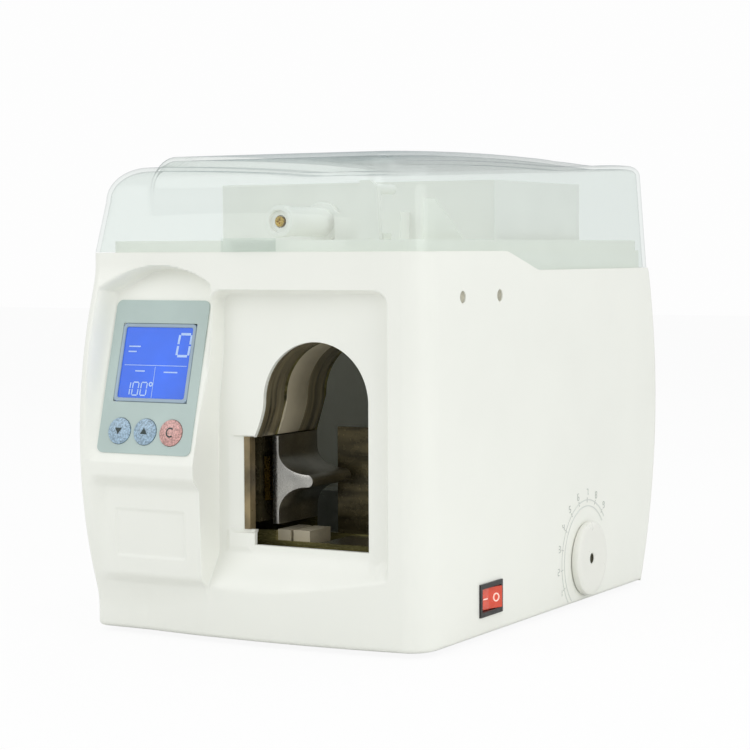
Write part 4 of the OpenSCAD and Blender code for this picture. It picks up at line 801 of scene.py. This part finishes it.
def hump_share(y):
    """The raised centre runs out flush with the roof towards the rear."""
    return smooth((REAR_Y - REAR_R - y) / HUMP_FADE)


def roof_height(y):
    return LID_TOP - LID_CROWN * (y / 150) ** 2 + HUMP * (1 - hump_share(y))


def sharper(y):
    """How sharp the lid's shoulders have grown towards the rear, 0 to 1."""
    return smooth((y - SHARP_FROM) / SHARP_OVER)


def shoulder_height(y):
    return LID_ROUND[1] - SHARP_CUT * sharper(y)


def lid_rings():
    """Rings of the outer sheet from its lower edge up the walls, over the shoulders and to the spine."""
    foot = lid_ring(0, 0, 0, 0)
    bottom = top_edge(foot[:, 1]) + LID_GAP
    rings = []
    for t in np.linspace(0, 1, 14)[:-1]:
        ring = lid_ring(*[inward * t for inward in LID_LEAN], CORNER_GROW[0] * t)
        z = bottom + (roof_height(ring[:, 1]) - shoulder_height(ring[:, 1]) - bottom) * t
        rings.append(np.column_stack([ring, z]))
    for a in np.radians(np.linspace(0, 90, 14)):
        turned = 1 - math.cos(a)
        inset = [inward + reach * turned for inward, reach in zip(LID_LEAN, LID_ROUND)]
        ring = lid_ring(*inset, CORNER_GROW[0] + CORNER_GROW[1] * turned)
        ring[:, 0] *= 1 + REAR_WIDEN / HALF_W * turned * sharper(ring[:, 1])
        drop = shoulder_height(ring[:, 1]) * (1 - math.sin(a))
        rings.append(np.column_stack([ring, roof_height(ring[:, 1]) - drop]))
    rim = rings[-1]
    spine = np.column_stack([rim[:, 0] * 0, np.clip(rim[:, 1], *SPINE_Y)])
    for t in np.linspace(0, 1, 26)[1:]:
        ring = rim[:, :2] * (1 - t) + spine * t
        rings.append(np.column_stack([ring, roof_height(ring[:, 1])]))
    return rings


def lid():
    """The clear cover: leaning walls, rounded shoulders and a raised centre."""
    rings = lid_rings()
    n = len(rings[0])
    points = np.concatenate(rings)
    # The last ring folds flat onto the spine, so its two sides share their points
    last = np.arange(len(points) - n, len(points))
    _, first, same = np.unique(points[last].round(3) + 0.0, axis=0, return_index=True, return_inverse=True)
    link = np.arange(len(points))
    link[last] = last[first][same.ravel()]
    faces = link[grid_faces(len(rings), n, wrap=True)]
    up = np.zeros_like(points)
    corner = np.cross(points[faces[:, 2]] - points[faces[:, 0]],
                      points[faces[:, 3]] - points[faces[:, 1]])
    for k in range(4):
        np.add.at(up, faces[:, k], corner)
    up /= np.maximum(np.linalg.norm(up, axis=1), 1e-9)[:, None]
    # The points that the weld leaves unused point up
    up[np.abs(up).sum(1) < 0.5] = (0, 0, 1)
    beside = HUMP_HALF + HUMP_EDGE / 2 - np.abs(points[:, 0] - HUMP_X)
    level = smooth((points[:, 2] - HUMP_FROM_Z) / HUMP_OVER) * smooth(beside / HUMP_EDGE)
    points = points + up * (HUMP * level * hump_share(points[:, 1]))[:, None]
    inner = points - up * LID_T
    inner[:n, 2] = points[:n, 2]
    both = np.concatenate([points, inner])
    folded = faces[:, 2] == faces[:, 3]
    add_piece("clear_cover", both, shell_faces(faces[~folded], faces[folded][:, :3], len(points)),
              "lid", "clear", ["clear_lid"], sharp=60)


def tab():
    """Finger tab at the lower front edge of the lid."""
    middle, half, most = 2.0, 19.0, 3.0
    x = np.linspace(middle - half, middle + half, 40)
    t = (x - middle) / half
    reach = most * np.power(np.maximum(1 - t ** 4, 0), 0.5)
    # Share of the reach and height above the shell's edge; the back of the tab lies inside the wall
    section = [(0.2, 0.3), (1.0, 0.3), (1.0, 2.0), (0.75, 4.5), (0.3, 7.0), (0.0, 8.3), (-0.4, 8.3),
               (-0.4, 0.3)]
    rings = []
    for out, z in section:
        y = bow(x) - reach * max(out, 0) + (0.8 if out < 0 else 0) - 0.1
        rings.append(np.stack([x, y, BODY_H + z + 0 * x], axis=-1))
    points = np.stack(rings + [rings[0]])
    faces = grid_faces(*points.shape[:2])
    add_piece("finger_tab", points.reshape(-1, 3), [faces[:, ::-1]], "lid", "clear")


# ---------------------------------------------------------------- bay interior

def sweep_band(name, path, thick, y0, y1, slot, node):
    """A band of the given thickness outside a path in X and Z, with eased edges front and back."""
    edge = 0.5
    ahead = np.gradient(path, axis=0)
    ahead /= np.linalg.norm(ahead, axis=1)[:, None]
    out = np.stack([-ahead[:, 1], ahead[:, 0]], axis=-1)
    section = [(0, y0 + edge), (edge * 0.3, y0 + edge * 0.3), (edge, y0), (thick, y0), (thick, y1),
               (edge, y1), (edge * 0.3, y1 - edge * 0.3), (0, y1 - edge), (0, y0 + edge)]
    rings = []
    for d, y in section:
        moved = path + out * d
        rings.append(np.stack([moved[:, 0], np.full(len(path), y), moved[:, 1]], axis=-1))
    points = np.stack(rings)
    rows, cols = points.shape[:2]
    faces = grid_faces(rows, cols)
    ends = np.arange(rows - 1) * cols
    caps = [ends[None, :], (ends + cols - 1)[None, ::-1]]
    add_piece(name, points.reshape(-1, 3), [faces, *caps], "body", slot, [node])


def arch_bands():
    """Polished liners before and behind the cream tape track."""
    path = arch_path()
    for name, thick, y0, y1, slot, node in (
            ("front_liner", 1.5, -164.0, -143.0, "steel_polished", "arch_guide_front"),
            ("tape_track", 7.0, -140.5, -116.0, "cream", "tape_channel"),
            ("rear_liner", 1.5, -116.0, -96.0, "steel_polished", "arch_guide_rear")):
        sweep_band(name, path, thick, y0, y1, slot, node)


def anvil():
    """Anvil plate with its hollow-flanked nose, edges eased."""
    z0, plate_x, face_x = 93.0, -5.4, -0.8
    tip_x, tip_r = face_x + 20.0, 4.0
    half = 27.0
    tip = arc(tip_x, z0, tip_r, 75, -75, 16)
    swing = np.radians(np.linspace(0, 84, 20))

    def flank(rise):
        """Hollow flank from the plate to the tip."""
        z = tip_r + rise * (1 - np.sin(swing))
        return np.stack([face_x + (tip_x - face_x) * (1 - np.cos(swing)), z], axis=-1)

    upper = np.concatenate([[(plate_x, half), (face_x, half)], flank(13)]) + (0, z0)
    lower = (np.concatenate([[(plate_x, half), (face_x, half)], flank(16)]) * (1, -1))[::-1] + (0, z0)
    outline = np.concatenate([upper, tip, lower])
    n = len(outline)
    ahead = np.roll(outline, -1, axis=0) - np.roll(outline, 1, axis=0)
    ahead /= np.linalg.norm(ahead, axis=1)[:, None]
    inward = np.stack([ahead[:, 1], -ahead[:, 0]], axis=-1)
    y0, y1, ease = -142.0, -96.0, 0.7
    rings = []
    for inset, y in ((ease, y0), (ease * 0.3, y0 + ease * 0.3), (0, y0 + ease), (0, y1)):
        p = outline + inward * inset
        rings.append(np.stack([p[:, 0], np.full(n, y), p[:, 1]], axis=-1))
    points = np.concatenate(rings)
    faces = grid_faces(4, n, wrap=True)
    caps = [np.arange(n)[None, ::-1], (np.arange(n) + 3 * n)[None]]
    add_piece("nose_block", points, [faces, *caps], "body", "steel_brushed", ["anvil_block"])


# ---------------------------------------------------------------- marks

SEGMENTS = {
    "0": "abcdef", "1": "bc", "2": "abged", "3": "abgcd", "4": "fgbc", "5": "afgcd", "6": "afgedc",
    "7": "abc", "8": "abcdefg", "9": "abfgcd",
}
SEGMENT_LINES = {
    "a": ((0, 2), (1, 2)), "b": ((1, 2), (1, 1)), "c": ((1, 1), (1, 0)), "d": ((0, 0), (1, 0)),
    "e": ((0, 0), (0, 1)), "f": ((0, 1), (0, 2)), "g": ((0, 1), (1, 1)),
}


def digit_lines(text, u, v, width, height, pitch, slant=0.0, gap=0.08):
    """Strokes of segment digits, from the lower left corner (u, v)."""
    lines = []
    for i, letter in enumerate(text):
        for name in SEGMENTS[letter]:
            line = np.array(SEGMENT_LINES[name], float)
            line = line + (line[::-1] - line) * gap
            x = u + i * pitch + line[:, 0] * width + slant * line[:, 1] * height / 2
            lines.append(np.stack([x, v + line[:, 1] * height / 2], axis=-1))
    return lines


def rounded(w, h, r, steps=8):
    """Rectangle with round corners about the origin, anticlockwise."""
    corners = ((1, 1, 0), (-1, 1, 90), (-1, -1, 180), (1, -1, 270))
    arcs = [arc(sx * (w / 2 - r), sy * (h / 2 - r), r, a, a + 90, steps) for sx, sy, a in corners]
    return np.concatenate(arcs)


def bezel():
    """Frame round the display with round corners and eased edges."""
    w, h, border = 53.4, 48.4, 2.2
    section = [(0, -3.2, 2.6), (0, 0.1, 2.6), (0.3, 0.4, 2.4), (border - 0.3, 0.4, 1.6), (border, 0.1, 1.4),
               (border, -3.2, 1.4), (0, -3.2, 2.6)]
    points = []
    for inset, high, r in section:
        ring = rounded(w - 2 * inset, h - 2 * inset, r)
        points += [panel_point(u, DISPLAY_V + v, high) for u, v in ring]
    faces = [grid_faces(len(section), len(points) // len(section), wrap=True)]
    add_piece("display_bezel", points, faces, "body", "lcd_bezel", ["lcd_frame"])


def display_marks():
    """Plain segment figures, dividers and bars on the display."""
    glass_w = -0.45
    place = lambda u, v, w: panel_point(u, v, glass_w + w)
    zero = digit_lines("0", 14.5, 13.2, 8.5, 13.5, 0, slant=0.06)
    count = digit_lines("100", -20.5, -11.6, 4.2, 8.0, 6.1, slant=0.04)
    count.append(closed_circle(-1.2, -4.6, 1.1, 14))
    rules = [[(-22.5, 7.0), (23, 7.0)], [(0.4, -13), (0.4, 6.2)]]
    bars = [[(-21, 18.6), (-12.5, 18.6)], [(-21, 15.4), (-15, 15.4)], [(-14, 3.4), (-7, 3.4)],
            [(7, 3.0), (17, 3.0)]]
    for name, lines, width in (("zero", zero, 1.5), ("count", count, 0.8), ("rules", rules, 0.35),
                               ("bars", bars, 0.8)):
        points, faces = ribbon(lines, width, 0.05, place)
        add_piece("display_" + name, points, faces, "body", "lcd_glass", material=MATERIALS["lcd_mark"])


def key_marks():
    """Arrow marks and a plain C on the domed keys."""
    proud, dome_h, key_r = 1.8, 1.2, 8.0
    dome_r = (key_r ** 2 + dome_h ** 2) / (2 * dome_h)
    arrow = np.array([(-2.4, 1.6), (0, -2.3), (2.4, 1.6)])
    letter = arc(0.3, 0, 2.6, 50, 310, 20)
    draw = {
        "key_down": lambda place: plates([arrow], 0.3, place),
        "key_up": lambda place: plates([-arrow], 0.3, place),
        "key_clear": lambda place: ribbon([letter], 0.9, 0.09, place),
    }
    for body, key_u in zip(draw, KEYS_U):
        def place(u, v, w):
            """A point on the dome of this key."""
            top = proud - dome_r + math.sqrt(dome_r ** 2 - u * u - v * v)
            return panel_point(key_u + u, KEYS_V + v, top + w - 0.03)
        points, faces = draw[body](place)
        add_piece(body + "_mark", points, faces, body, "button_blue", material=MATERIALS["mark_dark"])


def dial_scale():
    """Raised double ring, ticks and plain figures round the dial."""
    # Height at which both rings end at their left, measured from the shaft
    low = -25.5
    rings = []
    for r in (34.5, 38.5):
        end = 180 - math.degrees(math.asin(low / r))
        rings.append(arc(0, 0, r, 40, end, 60))
    tick_r, figure_r, figure_w, figure_h = (36.8, 40.0), 43.5, 2.4, 4.2
    ticks, figures = [], []
    for i, a in enumerate(np.radians(np.linspace(205, 48, 9))):
        out = np.array([math.cos(a), math.sin(a)])
        ticks.append([out * r for r in tick_r])
        corner = out * figure_r - (figure_w / 2, figure_h / 2)
        figures += digit_lines(str(i + 1), *corner, figure_w, figure_h, 0)

    def place(u, v, w):
        return np.array([HALF_W + w - 0.02, DIAL[0] + u, DIAL[1] + v])

    points, faces = ribbon(rings, 0.7, 0.28, place)
    add_piece("dial_rings", points, faces, "body", "body_shell", material=MATERIALS["mark_pale"])
    points, faces = ribbon(ticks + figures, 0.45, 0.2, place)
    add_piece("dial_figures", points, faces, "body", "body_shell", material=MATERIALS["mark_grey"])


def switch_marks():
    """Bar and ring on the two halves of the rocker."""
    pivot_in, tilt = 2.5, math.radians(-10)
    valley, slope = 1.6, 1.4 / 12

    def place(u, v, w):
        """A point on the tilted rocker, whose two faces rise from the valley between them."""
        out = valley + abs(u) * slope + w + 0.02
        return np.array([HALF_W - pivot_in + out * math.cos(tilt) - u * math.sin(tilt),
                         SWITCH[0] + out * math.sin(tilt) + u * math.cos(tilt), SWITCH[1] + v])

    points, faces = ribbon([closed_circle(6.2, 0, 2.3, 28), [(-7.0, 0), (-2.0, 0)]], 0.7, 0.5, place)
    add_piece("rocker_marks", points, faces, "rocker", "rocker_red", material=MATERIALS["mark_white"])


def dial():
    """Dial: a disc with a rolled rim and a shallow dish, and the dark bottom of its bore."""
    r = 24.5
    out = 5.5
    profile = [(3.0, 0.3), (r - 1.6, 0.3), (r - 0.4, 0.7), (r, 1.6), (r, 3.6), (r - 0.5, 4.7),
               (r - 1.8, 5.3), (r - 3.4, out), (r - 5.0, out - 0.1), (r - 9.0, out - 0.5), (8.0, out - 0.8),
               (4.4, out - 0.75), (3.9, out - 0.8), (3.4, out - 1.2), (3.3, 0.8), (0.05, 0.7)]
    points, faces = lathe(profile, (HALF_W, *DIAL), "x", 120)
    add_piece("dial_disc", points, faces, "dial", "dial_white", ["dial_knob"])
    profile = [(0.05, out - 2.8), (3.32, out - 2.8), (3.32, out - 1.5), (2.2, out - 1.8), (0.05, out - 2.0)]
    points, faces = lathe(profile, (HALF_W, *DIAL), "x", 48)
    add_piece("dial_pit", points, faces, "dial", "dial_white", material=MATERIALS["pit_metal"])


def reel_spindle():
    """Hub with a raised collar, a rolled front ring and a recess for its screw."""
    front, back = -106.3, -50.3
    centre = (-22, 0, 250)
    profile = [(4.05, back), (13, back), (13, back - 3.2), (12.2, back - 4), (9.4, back - 4.2),
               (9.0, front + 12), (9.1, front + 10), (9.8, front + 9.2), (10, front + 1.2),
               (9.7, front + 0.4), (9.0, front), (7.4, front), (6.9, front + 0.5), (6.8, front + 2.4),
               (4.05, front + 2.6), (4.05, back)]
    points, faces = lathe(profile, centre, "y")
    add_piece("hub_sleeve", points, [f[:, ::-1] for f in faces], "reel", "white_plastic", ["reel_hub"])


# ---------------------------------------------------------------- scene

def sky():
    """Cool light from all sides, which the camera sees as a near white backdrop."""
    world = bpy.data.worlds.new("studio")
    bpy.context.scene.world = world
    world.use_nodes = True
    tree = world.node_tree
    tree.nodes.clear()
    out = tree.nodes.new("ShaderNodeOutputWorld")
    light = tree.nodes.new("ShaderNodeBackground")
    light.inputs["Color"].default_value = (0.97, 0.985, 1.0, 1)
    light.inputs["Strength"].default_value = 0.72
    seen = tree.nodes.new("ShaderNodeBackground")
    seen.inputs["Color"].default_value = (0.985, 0.985, 0.985, 1)
    path = tree.nodes.new("ShaderNodeLightPath")
    mixed(tree, path.outputs["Is Camera Ray"], light.outputs["Background"], seen.outputs["Background"], out)


def ground():
    """Floor with soft shadows, which the camera sees as nearly all white."""
    mat, tree, out = node_tree("floor")
    diffuse = tree.nodes.new("ShaderNodeBsdfDiffuse")
    cloud = ramp(tree, noise(tree, 2.0), ((232, 232, 230), (238, 238, 237)))
    tree.links.new(cloud, diffuse.inputs["Color"])
    white = tree.nodes.new("ShaderNodeEmission")
    path = tree.nodes.new("ShaderNodeLightPath")
    part = reckoned(tree, "MULTIPLY", path.outputs["Is Camera Ray"], 0.92)
    mixed(tree, part, diffuse.outputs["BSDF"], white.outputs["Emission"], out)
    mesh = bpy.data.meshes.new("floor")
    size = 6.0
    corners = [(-size, -size, 0), (size, -size, 0), (size, size, 0), (-size, size, 0)]
    mesh.from_pydata(corners, [], [(0, 1, 2, 3)])
    mesh.materials.append(mat)
    floor = in_scene("floor", mesh)


def lamps():
    """Three round lamps aimed at the machine, each with its place, size and power."""
    lights = {
        "key": ((-0.9, -1.3, 1.0), 1.3, 6.1),
        "fill": ((1.5, -0.5, 0.8), 1.2, 6.8),
        "top": ((0.1, 0.3, 1.7), 1.3, 5.6),
    }
    target = Vector((0, 0, 0.13))
    for name, (place, size, power) in lights.items():
        lamp = bpy.data.lights.new(name, "AREA")
        lamp.shape = "DISK"
        lamp.size = size
        lamp.energy = power
        turn = (target - Vector(place)).to_track_quat("-Z", "Y").to_matrix().to_4x4()
        in_scene(name, lamp).matrix_world = Matrix.Translation(place) @ turn


def photo_camera():
    """Camera solved from the photograph."""
    photo_width, focal_length = 750, 2164.83
    azimuth, elevation, roll = math.radians(29.28), math.radians(3.3), math.radians(-0.23)
    distance, side, lift = 1442.42, -11.45, 149.14
    right = Vector((math.cos(azimuth), math.sin(azimuth), 0))
    back = Vector((math.sin(azimuth) * math.cos(elevation), -math.cos(azimuth) * math.cos(elevation),
                   math.sin(elevation)))
    up = back.cross(right)
    place = right * side + up * lift + back * distance + Vector(SHIFT)
    right, up = right * math.cos(roll) + up * math.sin(roll), up * math.cos(roll) - right * math.sin(roll)
    camera = bpy.data.cameras.new("photo_camera")
    camera.sensor_width = 36
    camera.lens = focal_length * camera.sensor_width / photo_width
    camera.clip_start = 0.05
    item = in_scene("photo_camera", camera)
    turn = Matrix((right, up, back)).transposed().to_4x4()
    item.matrix_world = Matrix.Translation(place * M) @ turn
    bpy.context.scene.camera = item


bpy.context.scene.view_settings.view_transform = "Standard"
sky()
ground()
lamps()
photo_camera()
dress_cad_nodes()
housing()
lid()
tab()
arch_bands()
anvil()
bezel()
display_marks()
key_marks()
dial()
dial_scale()
switch_marks()
reel_spindle()
